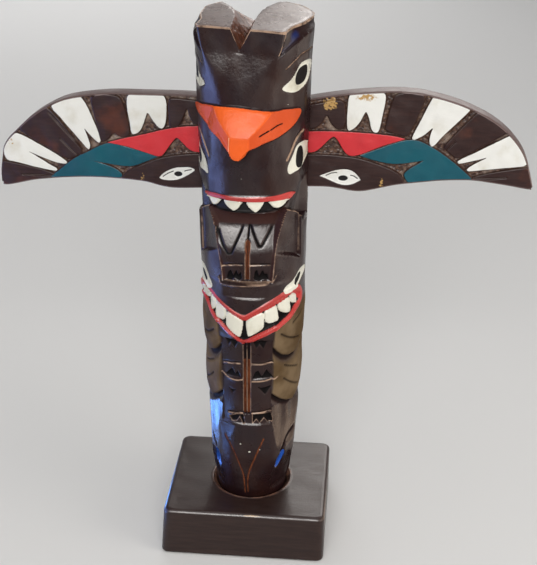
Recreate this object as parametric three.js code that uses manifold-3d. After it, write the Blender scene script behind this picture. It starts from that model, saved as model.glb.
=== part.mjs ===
// Carved and painted wooden totem pole with two wing boards, standing on a block base.
// Millimetres, +Z up, front faces -Y, origin under the middle of the base.
import * as THREE from "three";
import Module from "manifold-3d";
import { mergeVertices } from "three/addons/utils/BufferGeometryUtils.js";

const wasm = await Module();
wasm.setup();

const gap = 0.3; // clearance left where two pieces meet

const base = {
  width: 91,
  depth: 78.5,
  height: 28.5,
  centreX: -1,
  edgeRound: 2.2,
  cornerRound: 3,
  socketRadius: 20.3,
  socketFloor: 14,
  rimRadius: 23,
};

const pole = {
  top: 300,
  turn: -3, // the round foot sits slightly turned in its socket
  birdTurn: -7.5, // the upper head is carved a little to the left
  spigotRadius: base.socketRadius - gap,
  spigotBottom: base.socketFloor + gap,
  // height and radius down the trunk
  trunk: [
    [29, 20], [32, 20.8], [36, 22], [43, 23], [53, 23.9], [80, 25], [126, 26.7],
    [183, 28.1], [231, 28.1], [268, 28.7], [286, 29.2], [300, 30.2],
  ],
};

const beak = { top: 261, root: 259.5, tip: 235.5, cornerLow: 255.5, halfAngle: 73, reach: 8.3, brow: 1.6 };
const forehead = { from: 262, chord: 23.4, squareness: 1.6 };
const earHollow = { angle: 54, halfWidth: 22, low: 286, depth: 3.4 };
const notch = {
  depth: 10.4,
  // depth station (y), middle (x) and the half widths to either side: the ears are rounded off
  // behind, so the notch opens out towards the back
  spread: [
    [-45, -3, 5.4, 5.6], [-2, -3.4, 5.6, 5.8], [8, -3.6, 7.4, 6.6], [18, -3.9, 11, 8.5], [40, -4.2, 22, 17],
  ],
};
const jaw = { from: 222, chin: 206, sideDraw: 4.6, undercut: 5.2, panelTop: 198.5 };
const torso = { foot: 167, halfAngleTop: 44, halfAngleFoot: 29, recess: 1.6, sideEdge: 70 };
const muzzle = { top: 166, low: 131, proud: 1.5, halfAngle: 60 };
const belly = { top: 130, low: 84, halfAngle: 32, recess: 1.3, featherTiers: [118, 88], featherStep: 1.4 };
const footScoop = { angle: 74, halfWidth: 30, centre: 48, halfHeight: 19, depth: 2.6 };

const wing = {
  front: 4.8,
  thickness: 9.5,
  relief: 1.4, // how far the painted shapes stand above the ground
  rootX: 20.4,
  tilt: 3.31,
  sides: [
    { name: "wing_left", sign: -1, reach: 140.6 },
    { name: "wing_right", sign: 1, reach: 143.2 },
  ],
  drawnReach: 144.2,
  // all drawn for the right wing, distance out from the axis and height
  top: [
    [20.4, 254.6], [28, 255.8], [40, 257.6], [52, 258.9], [65, 259.6], [74, 259.6], [83, 258.6],
    [92, 256.4], [102, 253.5], [111, 249.8], [120, 245], [127.5, 239.3], [133, 233.4],
    [137.4, 227.4], [140.6, 220.3], [142.8, 213.4], [144.2, 208.8],
  ],
  bottom: [
    [143.3, 207.1], [140.5, 207.3], [132.3, 209], [123.2, 210.6], [114.1, 212.1], [105, 212.3],
    [95.9, 212], [87.7, 211], [75, 209.8], [67.7, 208.2], [61.4, 206.7], [56.4, 205.9],
    [51, 206.1], [46, 207.1], [38.6, 208.3], [28.6, 208.4], [20.4, 208.4],
  ],
  shapes: [
    // light feathers, each with two prongs
    [[47.7, 255.3], [49.6, 258.5], [65, 258.9], [66.4, 256], [65.6, 248], [64, 239], [61.8, 238.3],
      [60, 240], [56.7, 249], [51.8, 240.6], [49, 239], [47.5, 241]],
    [[89.5, 255.2], [91, 256.3], [107.4, 251.6], [109, 250.2], [102.3, 242.5], [92.8, 231.6],
      [91.2, 230.6], [90, 233], [91.1, 240.6], [86.8, 236.6], [82.1, 234.2], [81, 235.2]],
    [[132.7, 232.9], [136.3, 228.2], [139, 223.4], [137.7, 219.9], [111, 217.3], [109.8, 218.4],
      [120.4, 225], [105.8, 221.5], [105, 222.8], [120.5, 231.2], [129.5, 235.4]],
    // dark feathers
    [[30, 252.4], [36, 253.9], [43, 255], [45.9, 251.6], [46.2, 244], [43.2, 240.2], [38, 247], [31, 241]],
    [[71.4, 257.6], [84, 257.2], [86.4, 255], [82, 243], [79, 236.5], [68, 239.8], [69, 250]],
    [[113.6, 247.4], [120.6, 243.4], [125.9, 239.2], [128, 236.9], [104.4, 223.9], [97.2, 229.8], [105, 239]],
    [[138, 218.8], [140.2, 219], [142.2, 213], [143.2, 208.8], [140.4, 208], [123.4, 211.4], [113.8, 213.2]],
    // long pointed shape beside the trunk
    [[30, 238.3], [46.8, 238.3], [61.4, 237.3], [77, 234.5], [70.5, 232.3], [65, 230.4], [56.8, 226.8],
      [51.4, 225.6], [48.2, 226.4], [40.9, 235.9], [33.2, 228.9], [30, 227.6]],
    // forked shape under the feathers
    [[55.6, 225.6], [70.5, 231.4], [80, 233.6], [88.6, 231.3], [94.1, 228.2], [102.3, 222.2],
      [111.8, 213], [105, 212.8], [88.6, 211.6], [80.8, 211.2], [78, 215.3], [83.2, 220.2],
      [87.7, 223], [79.5, 221.7], [70.5, 221.2], [63.2, 222.9]],
    // low head shape with its eye
    [[30, 225.8], [38.6, 225.7], [47.7, 224.8], [55, 223.7], [63.2, 220.9], [70.5, 218.2], [75.4, 215.2],
      [77, 210.8], [67.7, 209], [61.4, 207.5], [56.4, 206.7], [51, 206.9], [46, 207.9], [38.6, 209.1],
      [30, 209.2]],
  ],
};

const radians = (deg) => (deg * Math.PI) / 180;

// Eased ramp from 0 at a to 1 at b; a may be above b.
function ease(a, b, value) {
  const t = Math.min(1, Math.max(0, (value - a) / (b - a)));
  return t * t * (3 - 2 * t);
}

// Straight-line lookup in a list of [key, value] pairs.
function lookup(pairs, key) {
  if (key <= pairs[0][0]) return pairs[0][1];
  for (let i = 1; i < pairs.length; i += 1) {
    const [k0, v0] = pairs[i - 1];
    const [k1, v1] = pairs[i];
    if (key <= k1) return v0 + ((v1 - v0) * (key - k0)) / (k1 - k0);
  }
  return pairs[pairs.length - 1][1];
}

// How far the hooked beak stands out: a narrow nose bump on a low rounded brow, growing from
// the top edge down to the lower edge and then dropping back to the face.
function beakProud(deg, z) {
  const side = Math.abs(deg) / beak.halfAngle;
  if (side >= 1) return 0;
  const low = beak.tip + (beak.cornerLow - beak.tip) * Math.pow(side, 0.62);
  const top = beak.top + (beak.root - beak.top) * side;
  const down = (top - z) / (top - low);
  if (down <= 0 || down >= 1.12) return 0;
  const amount = beak.reach * Math.exp(-((deg / 27) ** 2)) + beak.brow * (1 - side);
  const swell = 0.35 * ease(0, 0.12, down) + 0.65 * ease(0.05, 0.86, down);
  return amount * swell * ease(1.12, 0.96, down);
}

// Radius of the carved trunk at an angle from the front (degrees, positive to +X) and a height.
function trunkRadius(deg, z) {
  const side = Math.abs(deg);
  const birdDeg = deg - pole.birdTurn;
  const birdSide = Math.abs(birdDeg);
  let r = lookup(pole.trunk, z);

  // upper head: slightly square, with a flat forehead leaning back to the top
  const headAmount = ease(255, 290, z);
  r += forehead.squareness * headAmount * ease(10, 38, birdSide) * ease(75, 45, birdSide);
  const chord = forehead.chord + (28.7 - forehead.chord) * ease(292, forehead.from, z);
  if (birdSide < 80) {
    const flat = chord / Math.cos(radians(birdSide));
    r = Math.min(r, flat);
  }
  const hollowAcross = 1 - Math.abs(birdSide - earHollow.angle) / earHollow.halfWidth;
  const hollowLow = earHollow.low + 5 * ease(35, 75, birdSide);
  r -= earHollow.depth * ease(0, 0.5, hollowAcross) * ease(hollowLow, 298, z);
  r += beakProud(birdDeg, z);

  // second head: the sides draw in to the chin, then the neck is undercut
  const jawSide = ease(35, 75, side) * ease(125, 100, side);
  r -= jaw.sideDraw * jawSide * ease(jaw.from, jaw.chin, z) * ease(jaw.chin - 2, jaw.chin, z);
  const neck = ease(jaw.chin, jaw.chin - 2.5, z) * ease(jaw.panelTop - 4, jaw.panelTop + 2, z);
  r -= jaw.undercut * neck * ease(70, 45, side);

  // torso panel between two flat side blocks
  const inTorso = ease(torso.foot, torso.foot + 2, z) * ease(jaw.chin, jaw.chin - 2, z);
  const up = (z - torso.foot) / (jaw.panelTop - torso.foot);
  const panelEdge = torso.halfAngleFoot + (torso.halfAngleTop - torso.halfAngleFoot) * up;
  r -= inTorso * 2.6 * ease(panelEdge + 4, panelEdge, side);
  const blockFlat = ease(panelEdge, panelEdge + 5, side) * ease(torso.sideEdge + 1, torso.sideEdge - 2, side);
  r -= inTorso * torso.recess * blockFlat;

  // lower head: rounded muzzle
  const muzzleUp = ease(muzzle.top, muzzle.top - 6, z) * ease(muzzle.low, muzzle.low + 8, z);
  r += muzzle.proud * muzzleUp * ease(muzzle.halfAngle, 0, side);

  // belly panel between tiers of side feathers
  const inBelly = ease(belly.low - 1, belly.low + 1, z) * ease(belly.top + 2, belly.top, z);
  r -= belly.recess * inBelly * ease(belly.halfAngle + 4, belly.halfAngle - 1, side);
  for (const tier of belly.featherTiers) {
    const under = ease(tier, tier - 2, z) * ease(tier - 16, tier - 4, z);
    r -= belly.featherStep * under * ease(belly.halfAngle, belly.halfAngle + 6, side) * ease(125, 100, side);
  }

  // scooped hollows either side of the foot
  const across = (side - footScoop.angle) / footScoop.halfWidth;
  const upDown = (z - footScoop.centre) / footScoop.halfHeight;
  const scoop = 1 - across * across - upDown * upDown;
  if (scoop > 0) r -= footScoop.depth * Math.sqrt(scoop) * ease(29, 34, z);
  return r;
}

// Middle of a ring of points.
function middle(ring) {
  return [0, 1, 2].map((k) => ring.reduce((sum, point) => sum + point[k], 0) / ring.length);
}

// Closed skin from rings of points, each joined to the next, with flat caps.
function skin(rings) {
  const count = rings[0].length;
  const positions = rings.flat(2);
  const faces = [];
  for (let i = 0; i + 1 < rings.length; i += 1) {
    for (let j = 0; j < count; j += 1) {
      const a = i * count + j;
      const b = i * count + ((j + 1) % count);
      faces.push(a, b, b + count, a, b + count, a + count);
    }
  }
  const lowHub = rings.length * count;
  const topHub = lowHub + 1;
  const last = (rings.length - 1) * count;
  positions.push(...middle(rings[0]), ...middle(rings[rings.length - 1]));
  for (let j = 0; j < count; j += 1) {
    const next = (j + 1) % count;
    faces.push(lowHub, next, j);
    faces.push(topHub, last + j, last + next);
  }
  return new wasm.Manifold(
    new wasm.Mesh({
      numProp: 3,
      vertProperties: new Float32Array(positions),
      triVerts: new Uint32Array(faces),
    }),
  );
}

function solid(geometry) {
  geometry.deleteAttribute("normal");
  geometry.deleteAttribute("uv");
  const welded = mergeVertices(geometry, 1e-4);
  return new wasm.Manifold(
    new wasm.Mesh({
      numProp: 3,
      vertProperties: new Float32Array(welded.attributes.position.array),
      triVerts: new Uint32Array(welded.index.array),
    }),
  );
}

// A flat outline in x and height, pushed back from the plane y = front by the given depth.
function board(points, front, depth) {
  const shape = new THREE.Shape(points.map(([x, z]) => new THREE.Vector2(x, z)));
  const geometry = new THREE.ExtrudeGeometry(shape, { depth, bevelEnabled: false });
  geometry.rotateX(Math.PI / 2);
  geometry.translate(0, front + depth, 0);
  return solid(geometry);
}

// Upright round post, straight or tapered, standing on the given height.
function roundPost(lowRadius, highRadius, low, tall) {
  const geometry = new THREE.CylinderGeometry(highRadius, lowRadius, tall, 56);
  geometry.rotateX(Math.PI / 2);
  geometry.translate(0, 0, low + tall / 2);
  return solid(geometry);
}

function makeMesh(name, manifold, colour, roughness) {
  const mesh = manifold.getMesh();
  const geometry = new THREE.BufferGeometry();
  geometry.setAttribute("position", new THREE.BufferAttribute(new Float32Array(mesh.vertProperties), 3));
  geometry.setIndex(new THREE.BufferAttribute(new Uint32Array(mesh.triVerts), 1));
  geometry.computeVertexNormals();
  const material = new THREE.MeshStandardMaterial({ color: colour, roughness, metalness: 0 });
  const out = new THREE.Mesh(geometry, material);
  out.name = name;
  return out;
}

// Base: rounded block with a blind round socket whose rim is worn to a slope.
function makeBase() {
  const { width, depth, height, edgeRound, cornerRound } = base;
  const w = width / 2 - edgeRound;
  const d = depth / 2 - edgeRound;
  const shape = new THREE.Shape();
  const corners = [[w, -d, -90], [w, d, 0], [-w, d, 90], [-w, -d, 180]];
  for (const [x, y, start] of corners) {
    const cx = x - Math.sign(x) * cornerRound;
    const cy = y - Math.sign(y) * cornerRound;
    for (let k = 0; k <= 4; k += 1) {
      const a = radians(start + 22.5 * k);
      const px = cx + cornerRound * Math.cos(a);
      const py = cy + cornerRound * Math.sin(a);
      if (k === 0 && start === -90) shape.moveTo(px, py);
      else shape.lineTo(px, py);
    }
  }
  const geometry = new THREE.ExtrudeGeometry(shape, {
    depth: height - 2 * edgeRound,
    bevelEnabled: true,
    bevelThickness: edgeRound,
    bevelSize: edgeRound,
    bevelSegments: 3,
  });
  geometry.translate(base.centreX, 0, edgeRound);
  const socketDepth = height - base.socketFloor;
  const slope = base.rimRadius - base.socketRadius;
  const socket = roundPost(base.socketRadius, base.socketRadius, base.socketFloor, socketDepth + 5);
  const rim = roundPost(base.socketRadius - 0.5, base.rimRadius + 0.6, height - slope * 0.62, slope + 1);
  return solid(geometry).subtract(socket).subtract(rim);
}

// Wing outline points for one side: drawn outline scaled to that wing's reach and tilted, so
// the +X wing rises outwards and the -X wing falls outwards.
function placeWing(points, side) {
  const scale = side.reach / wing.drawnReach;
  const tilt = radians(wing.tilt);
  return points.map(([x, z]) => {
    const out = side.sign * x * scale;
    return [out * Math.cos(tilt), z + out * Math.sin(tilt)];
  });
}

function makeWing(side) {
  const outline = placeWing([...wing.top, ...wing.bottom], side);
  let body = board(outline, wing.front + wing.relief, wing.thickness - wing.relief);
  for (const points of wing.shapes) {
    body = body.add(board(placeWing(points, side), wing.front, wing.relief + 0.4));
  }
  return body;
}

// Cutter for the shallow slot that takes a wing's root, larger than the root by the clearance.
function wingSlot(side) {
  const low = lookup(wing.bottom.slice().reverse(), wing.rootX) - gap;
  const high = lookup(wing.top, wing.rootX) + gap;
  const out = 40;
  const corners = [
    [wing.rootX - gap, low], [out, low - 0.6],
    [out, lookup(wing.top, out) + gap + 0.4], [wing.rootX - gap, high],
  ];
  return board(placeWing(corners, side), wing.front - gap, wing.thickness + 2 * gap);
}

// Cutter for the notch between the ears: a V section at each depth station, joined in turn.
function notchCutter() {
  const over = 2; // the cutter stands this far above the top
  const grow = (notch.depth + over) / notch.depth;
  const rings = notch.spread.map(([y, x, left, right]) => [
    [x, y, pole.top - notch.depth],
    [x - left * grow, y, pole.top + over],
    [x + right * grow, y, pole.top + over],
  ]);
  return skin(rings);
}

function makePole() {
  const angles = [];
  for (let a = -180; a < 180; a += Math.abs(a + (a < 0 ? 1 : 0)) >= 105 ? 15 : 5) angles.push(a);
  const heights = [
    29, 31, 34, 38, 43, 48, 53, 60, 68, 76, 84, 87, 89, 96, 104, 112, 116.5, 118.5, 124, 130, 133,
    138, 144, 150, 156, 161, 166, 167.5, 169.5, 178, 188, 195, 199, 202, 204, 206, 208, 213, 218, 224,
    230, 234, 236.5, 239, 242, 245.5, 249, 252.5, 256, 259, 261.5, 265, 272, 280, 286, 291, 295.5, 300,
  ];
  const ringAt = (z, radiusAt) =>
    angles.map((deg) => {
      const r = radiusAt(deg);
      return [r * Math.sin(radians(deg)), -r * Math.cos(radians(deg)), z];
    });
  const rings = [
    ringAt(pole.spigotBottom, () => pole.spigotRadius - 0.6),
    ringAt(pole.spigotBottom + 1, () => pole.spigotRadius),
    ringAt(base.height - 0.4, () => pole.spigotRadius),
    ...heights.map((z) => ringAt(z, (deg) => trunkRadius(deg, z))),
  ];
  let body = skin(rings).subtract(notchCutter());
  for (const side of wing.sides) body = body.subtract(wingSlot(side));
  return body;
}

const group = new THREE.Group();
group.add(makeMesh("base", makeBase(), 0x4a3a34, 0.5));

// everything above the base is turned together in the socket
const upper = new THREE.Group();
upper.rotation.z = radians(pole.turn);
upper.add(makeMesh("pole", makePole(), 0x33242a, 0.35));
for (const side of wing.sides) upper.add(makeMesh(side.name, makeWing(side), 0x3a2a2b, 0.45));
group.add(upper);

export default group;
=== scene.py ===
import math

import bpy
import numpy as np
from mathutils import Matrix, Vector


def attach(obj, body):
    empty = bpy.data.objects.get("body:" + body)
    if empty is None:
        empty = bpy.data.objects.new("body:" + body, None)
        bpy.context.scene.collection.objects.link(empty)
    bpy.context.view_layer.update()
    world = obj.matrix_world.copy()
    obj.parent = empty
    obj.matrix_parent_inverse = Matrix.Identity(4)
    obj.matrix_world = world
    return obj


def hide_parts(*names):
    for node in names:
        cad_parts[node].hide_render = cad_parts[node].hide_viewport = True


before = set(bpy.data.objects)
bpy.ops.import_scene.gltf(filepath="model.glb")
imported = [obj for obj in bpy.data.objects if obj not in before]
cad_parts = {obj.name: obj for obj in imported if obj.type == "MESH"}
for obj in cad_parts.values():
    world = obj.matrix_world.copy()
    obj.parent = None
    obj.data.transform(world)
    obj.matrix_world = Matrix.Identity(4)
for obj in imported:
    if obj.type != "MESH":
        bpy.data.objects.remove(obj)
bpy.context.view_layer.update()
print("frame loaded")

# Stored for a painted shape wherever the point is well outside it.
farOutside = -5.0


# Eased ramp from 0 at a to 1 at b: t squared times three minus two t. It may run downwards.
def ease(a, b, value):
    t = np.clip((value - a) / (b - a), 0.0, 1.0)
    return t * t * (3.0 - 2.0 * t)


# Straight lookup between listed stations.
def along(stations, value):
    keys, values = zip(*stations)
    return np.interp(value, keys, values)


# The straight lookup averaged over a short reach, which rounds its corners.
def smoothAlong(stations, value, reach):
    shifts = (-1.0, -0.5, 0.0, 0.5, 1.0)
    return sum(along(stations, value + shift * reach) for shift in shifts) / len(shifts)


# Lesser of two surfaces, blended where they come within the softness of each other.
def softLess(a, b, softness):
    h = np.clip(0.5 + 0.5 * (b - a) / softness, 0.0, 1.0)
    return b * (1 - h) + a * h - softness * h * (1 - h)


# Corner cutting: each pass puts two points at a quarter and three quarters of every side.
def softened(points, passes=2, closed=True):
    pts = np.array(points, float)
    for _ in range(passes):
        after = np.roll(pts, -1, axis=0) if closed else pts[1:]
        before = pts if closed else pts[:-1]
        cut = np.stack([0.75 * before + 0.25 * after, 0.25 * before + 0.75 * after], 1).reshape(-1, 2)
        pts = cut if closed else np.vstack([pts[:1], cut, pts[-1:]])
    return pts


# Distance from every point to a run of straight segments.
def lineDistance(u, w, points, closed=False):
    pts = np.array(points, float)
    ends = np.roll(pts, -1, axis=0) if closed else pts[1:]
    best = np.full(np.shape(u), 1e9)
    for (ax, ay), (bx, by) in zip(pts, ends):
        dx, dy = bx - ax, by - ay
        length = dx * dx + dy * dy
        if length < 1e-12:
            continue
        t = np.clip(((u - ax) * dx + (w - ay) * dy) / length, 0.0, 1.0)
        best = np.minimum(best, (u - ax - t * dx) ** 2 + (w - ay - t * dy) ** 2)
    return np.sqrt(best)


# Signed distance to a closed outline, positive inside: the distance to its sides, with the
# sign from counting how many sides lie to the right of the point.
def shapeDistance(u, w, points):
    pts = np.array(points, float)
    inside = np.zeros(np.shape(u), bool)
    for (ax, ay), (bx, by) in zip(pts, np.roll(pts, -1, axis=0)):
        if ay == by:
            continue
        crosses = (ay > w) != (by > w)
        inside ^= crosses & (u < (bx - ax) * (w - ay) / (by - ay) + ax)
    return np.where(inside, 1.0, -1.0) * lineDistance(u, w, pts, closed=True)


# Smooth irregular field: a sum of sine waves in random directions, about the given size across.
def ripple(u, w, size, seed, waves=9):
    rng = np.random.default_rng(seed)
    total = np.zeros(np.shape(u))
    for _ in range(waves):
        angle = rng.uniform(0, 2 * math.pi)
        k = 2 * math.pi / (size * rng.uniform(0.7, 1.6))
        total += np.sin(k * (u * math.cos(angle) + w * math.sin(angle)) + rng.uniform(0, 2 * math.pi))
    return total / math.sqrt(waves / 2)


# Points turned about the upright axis.
def turned(points, degrees):
    a = math.radians(degrees)
    out = points.copy()
    out[..., 0] = points[..., 0] * math.cos(a) - points[..., 1] * math.sin(a)
    out[..., 1] = points[..., 0] * math.sin(a) + points[..., 1] * math.cos(a)
    return out


# Closed piece from rings of points (ring, place round it, xyz in mm): neighbouring rings are
# joined by quads and each end is closed by a fan to the ring's middle.
def closedSkin(name, rings, fields, sharpAngle=55):
    count, around = rings.shape[:2]
    ids = np.arange(count * around).reshape(count, around)
    nextIds = np.roll(ids, -1, axis=1)
    quads = np.stack([ids[:-1], nextIds[:-1], nextIds[1:], ids[1:]], -1).reshape(-1, 4)
    lowHub, highHub = count * around, count * around + 1
    low = np.stack([np.full(around, lowHub), nextIds[0], ids[0]], -1)
    high = np.stack([np.full(around, highHub), ids[-1], nextIds[-1]], -1)
    flat = rings.reshape(-1, 3)
    verts = np.vstack([flat, rings[0].mean(0), rings[-1].mean(0)])
    p, q, r = flat[quads[:, 0]], flat[quads[:, 1]], flat[quads[:, 2]]
    if np.einsum("ij,ij->i", p, np.cross(q, r)).sum() < 0:
        quads, low, high = quads[:, ::-1], low[:, ::-1], high[:, ::-1]
    mesh = bpy.data.meshes.new(name)
    mesh.from_pydata((verts * 0.001).tolist(), [], quads.tolist() + low.tolist() + high.tolist())
    mesh.update()
    for key, values in fields.items():
        layer = mesh.attributes.new(key, "FLOAT", "POINT")
        ends = [values[0].mean(), values[-1].mean()]
        layer.data.foreach_set("value", np.concatenate([values.ravel(), ends]).astype(np.float32))
    mesh.polygons.foreach_set("use_smooth", np.ones(len(mesh.polygons), bool))
    mesh.set_sharp_from_angle(angle=math.radians(sharpAngle))
    piece = bpy.data.objects.new(name, mesh)
    bpy.context.scene.collection.objects.link(piece)
    tris = 2 * len(quads) + len(low) + len(high)
    print("built", name, tris, "triangles")
    return piece


# Heights with a spacing that varies: the running sum of one over the spacing is cut into
# equal steps.
def spacedHeights(spacings, low, high):
    fine = np.linspace(low, high, 4000)
    density = 1.0 / along(spacings, fine)
    total = np.concatenate([[0.0], np.cumsum((density[1:] + density[:-1]) / 2 * np.diff(fine))])
    return np.interp(np.linspace(0, total[-1], int(total[-1]) + 1), total, fine)


# The trunk. Heights are in mm from the underside of the base, and angles in degrees from the
# front, to the right. Outlines are (degrees, height), and a plain pair says where an eased
# change starts and ends.
pole = {
    "turn": -3.0,
    "mmPerDegree": 0.485,
    "top": 300.0,
    "squeezeFrom": 286.5,
    "spigotLow": 14.3,
    "frontSpan": 101.0,
    "frontStep": 0.97,
    "backStep": 5.5,
    # (height, distance between rings)
    "spacing": [
        (14, 7), (27, 4), (29, 1.2), (74, 1.15), (77, 0.55), (89, 0.55), (92, 0.8), (128, 0.8),
        (132, 0.68), (160, 0.68), (165, 0.5), (169, 0.5), (172, 0.75), (196, 0.85), (203, 0.5),
        (208, 0.5), (213, 0.62), (220, 0.95), (232, 0.8), (236, 0.5), (248, 0.6), (262, 0.65), (265, 1.0),
        (278, 1.0), (281, 0.7), (291, 0.7), (294, 1.0), (300, 1.0),
    ],
    # (height, radius)
    "trunk": [
        (14, 20), (29, 20.0), (31, 20.5), (36, 21.8), (43, 22.7), (53, 23.6), (80, 25.0), (126, 26.8),
        (160, 27.8), (183, 28.3), (205, 28.8), (218, 28.4), (231, 28.2), (268, 28.9), (286, 29.1),
        (300, 30.2),
    ],
    # (height, extra radius on the right and as much less on the left)
    "lean": [(45, 0.0), (65, 0.8), (130, 0.8), (160, 0.4), (190, 0.1), (230, 0), (300, 0)],
    "topSlope": 0.045,
    "capRings": 44,
    "capMiddle": (-3.8, 0.0),
    "knifeMarks": 0.05,
    "roughSide": (24, 42),
    "grain": 0.008,
    "marksRise": (29, 34),
}


# Length in mm round the trunk's surface for an angle in degrees.
def roundMm(degrees):
    return degrees * pole["mmPerDegree"]


# Drawn points (degrees, height) as mm, or as their mirror image about the given degree.
def scaled(points, mirror=None):
    pts = np.array(points, float)
    if mirror is not None:
        pts[:, 0] = 2 * mirror - pts[:, 0]
    return pts * [pole["mmPerDegree"], 1.0]


paintKeys = ("orange", "side", "ridgeGlint", "red", "white", "black", "blue", "hollowReflection", "raw", "rust", "worn")


# The trunk's surface while it is being carved, at an angle from the front (degrees) and a
# height. It starts from the trunk's taper, and each carved shape adds or takes off a depth
# that is an eased function of the distance to the shape's drawn edge.
class Carving:
    def __init__(self, deg, z):
        self.deg, self.z = deg, z
        self.u = roundMm(deg)
        self.side = np.abs(deg)
        self.r = along(pole["trunk"], z) + along(pole["lean"], z) * np.sin(np.radians(deg))
        self.paint = {key: np.full(deg.shape, farOutside) for key in paintKeys}
        self.cavity = np.zeros(deg.shape)
        self.feather = np.zeros(deg.shape)

    # distance inside a drawn outline, and distance from a drawn line
    def inside(self, points, passes=1, mirror=None):
        return shapeDistance(self.u, self.z, softened(scaled(points, mirror), passes))

    def near(self, points, passes=0, mirror=None, lift=0.0):
        line = softened(scaled(points, mirror), passes, closed=False)
        return lineDistance(self.u, self.z + lift, line)

    # paint wherever the distance is above 0
    def cover(self, key, distance, where=True):
        self.paint[key] = np.maximum(self.paint[key], np.where(where, distance, farOutside))

    # painted shade: darkens cuts, notches and recesses towards black through the cavity field
    def paintShade(self, amount):
        self.cavity = np.maximum(self.cavity, amount)

    # a cut with sloping sides along a line, with painted shade in it
    def groove(self, points, width, depth, key=None, mirror=None):
        near = self.near(points, 1, mirror)
        bite = np.clip(1.0 - near / (width * 0.5), 0.0, 1.0)
        self.r = self.r - depth * bite
        self.paintShade(bite)
        if key:
            self.cover(key, width * 0.42 - near)

    # down to another surface where that one is lower, by a share from 0 to 1
    def cutBack(self, share, surface):
        self.r = self.r + share * np.minimum(surface - self.r, 0)

    # a slightly sunk white eye with its black pupil
    def eye(self, outline, pupil, depth=0.45, mirror=None):
        shape = self.inside(outline, 2, mirror)
        self.cover("white", shape)
        self.r = self.r - depth * ease(-0.3, 0.3, shape)
        self.cover("black", self.inside(pupil, 1, mirror))


bird = {
    "centre": -8.0,
    # (height, distance of the flat forehead from the axis)
    "chord": [(258, 30.4), (262, 29.2), (274, 26.9), (287, 24.1), (300, 23.7)],
    "chordSpan": 75,
    "chordSoften": (290, 272),
    "corner": 1.7,
    "cornerRise": (262, 296),
    "cornerInner": (12, 38),
    "cornerOuter": (70, 46),
    # (height, degrees from the head's middle), then (degrees, height)
    "hollowEdge": [(284.5, 38), (291, 42), (300, 46.5)],
    "hollowRidge": [
        (36, 283.8), (40, 286), (46, 288.4), (56, 291.4), (66, 293.6), (80, 295.2), (100, 296),
    ],
    "hollowDeep": 3.6,
    "hollowLedge": 1.5,
    "hollowInner": (44, 66),
    "hollowOuter": (112, 86),
    "hollowRise": (0, 9),
    "ledgeOuter": (116, 95),
    "reflectionOuter": 92,
    "reflectionTop": 298.5,
    "notchDeep": 10.8,
    # notch, by distance towards the back: its middle and half widths
    "notchMiddle": [(-30, -3.3), (30, -4.3)],
    "notchLeft": [(-30, 4.4), (-24, 4.6), (-2, 5.4), (8, 7.4), (16, 10.5), (22, 14.5), (30, 21)],
    "notchRight": [(-30, 5.4), (-24, 5.4), (-2, 5.6), (10, 6.6), (18, 8.6), (24, 11.5), (30, 16)],
    # a chip in one ear: degrees, height and size
    "earChip": (38, 298.6, 1.3),
    "earChipRadius": 24,
    "eyeMirror": -5.0,
    "eye": [
        (36, 270.1), (40, 272), (46, 273.9), (52, 276.9), (57, 279.7), (62, 281.1), (68, 281.6),
        (76, 281.4), (86, 280.2), (97, 278.4), (99, 277), (92, 275.9), (84, 274.2), (76, 271.3),
        (70, 269.3), (64, 268.1), (57, 267.4), (50, 267.5), (42, 268.4),
    ],
    "pupil": [
        (53.5, 270.9), (53, 275.5), (58, 278.4), (66, 279.4), (74, 279.2), (75, 275), (70, 271.4),
        (62, 270.1),
    ],
    "brow": [(40, 280), (50, 283.3), (60, 285.3), (70, 286.1), (82, 286.2), (95, 285)],
}


# Bird's head: the forehead cut flat as a chord of the trunk, hollows outside the ears, then
# the eyes and the lines over them.
def carveBird(c):
    z = c.z
    side = np.abs(c.deg - bird["centre"])
    corner = bird["corner"] * ease(*bird["cornerRise"], z)
    c.r = c.r + corner * ease(*bird["cornerInner"], side) * ease(*bird["cornerOuter"], side)
    flat = smoothAlong(bird["chord"], z, 1.5) / np.cos(np.radians(np.minimum(side, bird["chordSpan"])))
    softness = 0.3 + 2.2 * ease(*bird["chordSoften"], z)
    c.r = np.where(side < bird["chordSpan"], softLess(c.r, flat, softness), c.r)
    above = z - along(bird["hollowRidge"], side)
    hollow = np.minimum(roundMm(side - along(bird["hollowEdge"], z)), above)
    across = ease(*bird["hollowInner"], side) * ease(*bird["hollowOuter"], side)
    deep = bird["hollowLedge"] * ease(*bird["ledgeOuter"], side)
    deep = deep + bird["hollowDeep"] * across * ease(*bird["hollowRise"], above)
    c.r = c.r - ease(-0.2, 1.1, hollow) * deep
    c.cover("worn", 0.3 - np.abs(hollow + 0.1), above > 1.2)
    # painted reflection: patchy dark blue laid in the ear hollows where blue light is reflected
    c.cover("hollowReflection", hollow - 1.6, (side < bird["reflectionOuter"]) & (z < bird["reflectionTop"]))
    for mirror in (None, bird["eyeMirror"]):
        c.eye(bird["eye"], bird["pupil"], mirror=mirror)
        c.groove(bird["brow"], 1.3, 0.55, mirror=mirror)
        c.cover("worn", 0.28 - c.near(bird["brow"], mirror=mirror))


# Place across the notch between the ears: how far off its middle, and its half width there.
def notchReach(x, y):
    off = x - along(bird["notchMiddle"], y)
    return off, np.where(off < 0, along(bird["notchLeft"], y), along(bird["notchRight"], y))


# Top of the trunk: a gentle slope, cut by the V-shaped notch that runs from front to back.
def topHeight(x, y):
    off, half = notchReach(x, y)
    return pole["top"] + pole["topSlope"] * y - bird["notchDeep"] * np.clip(1 - np.abs(off) / half, 0, 1)


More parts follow.
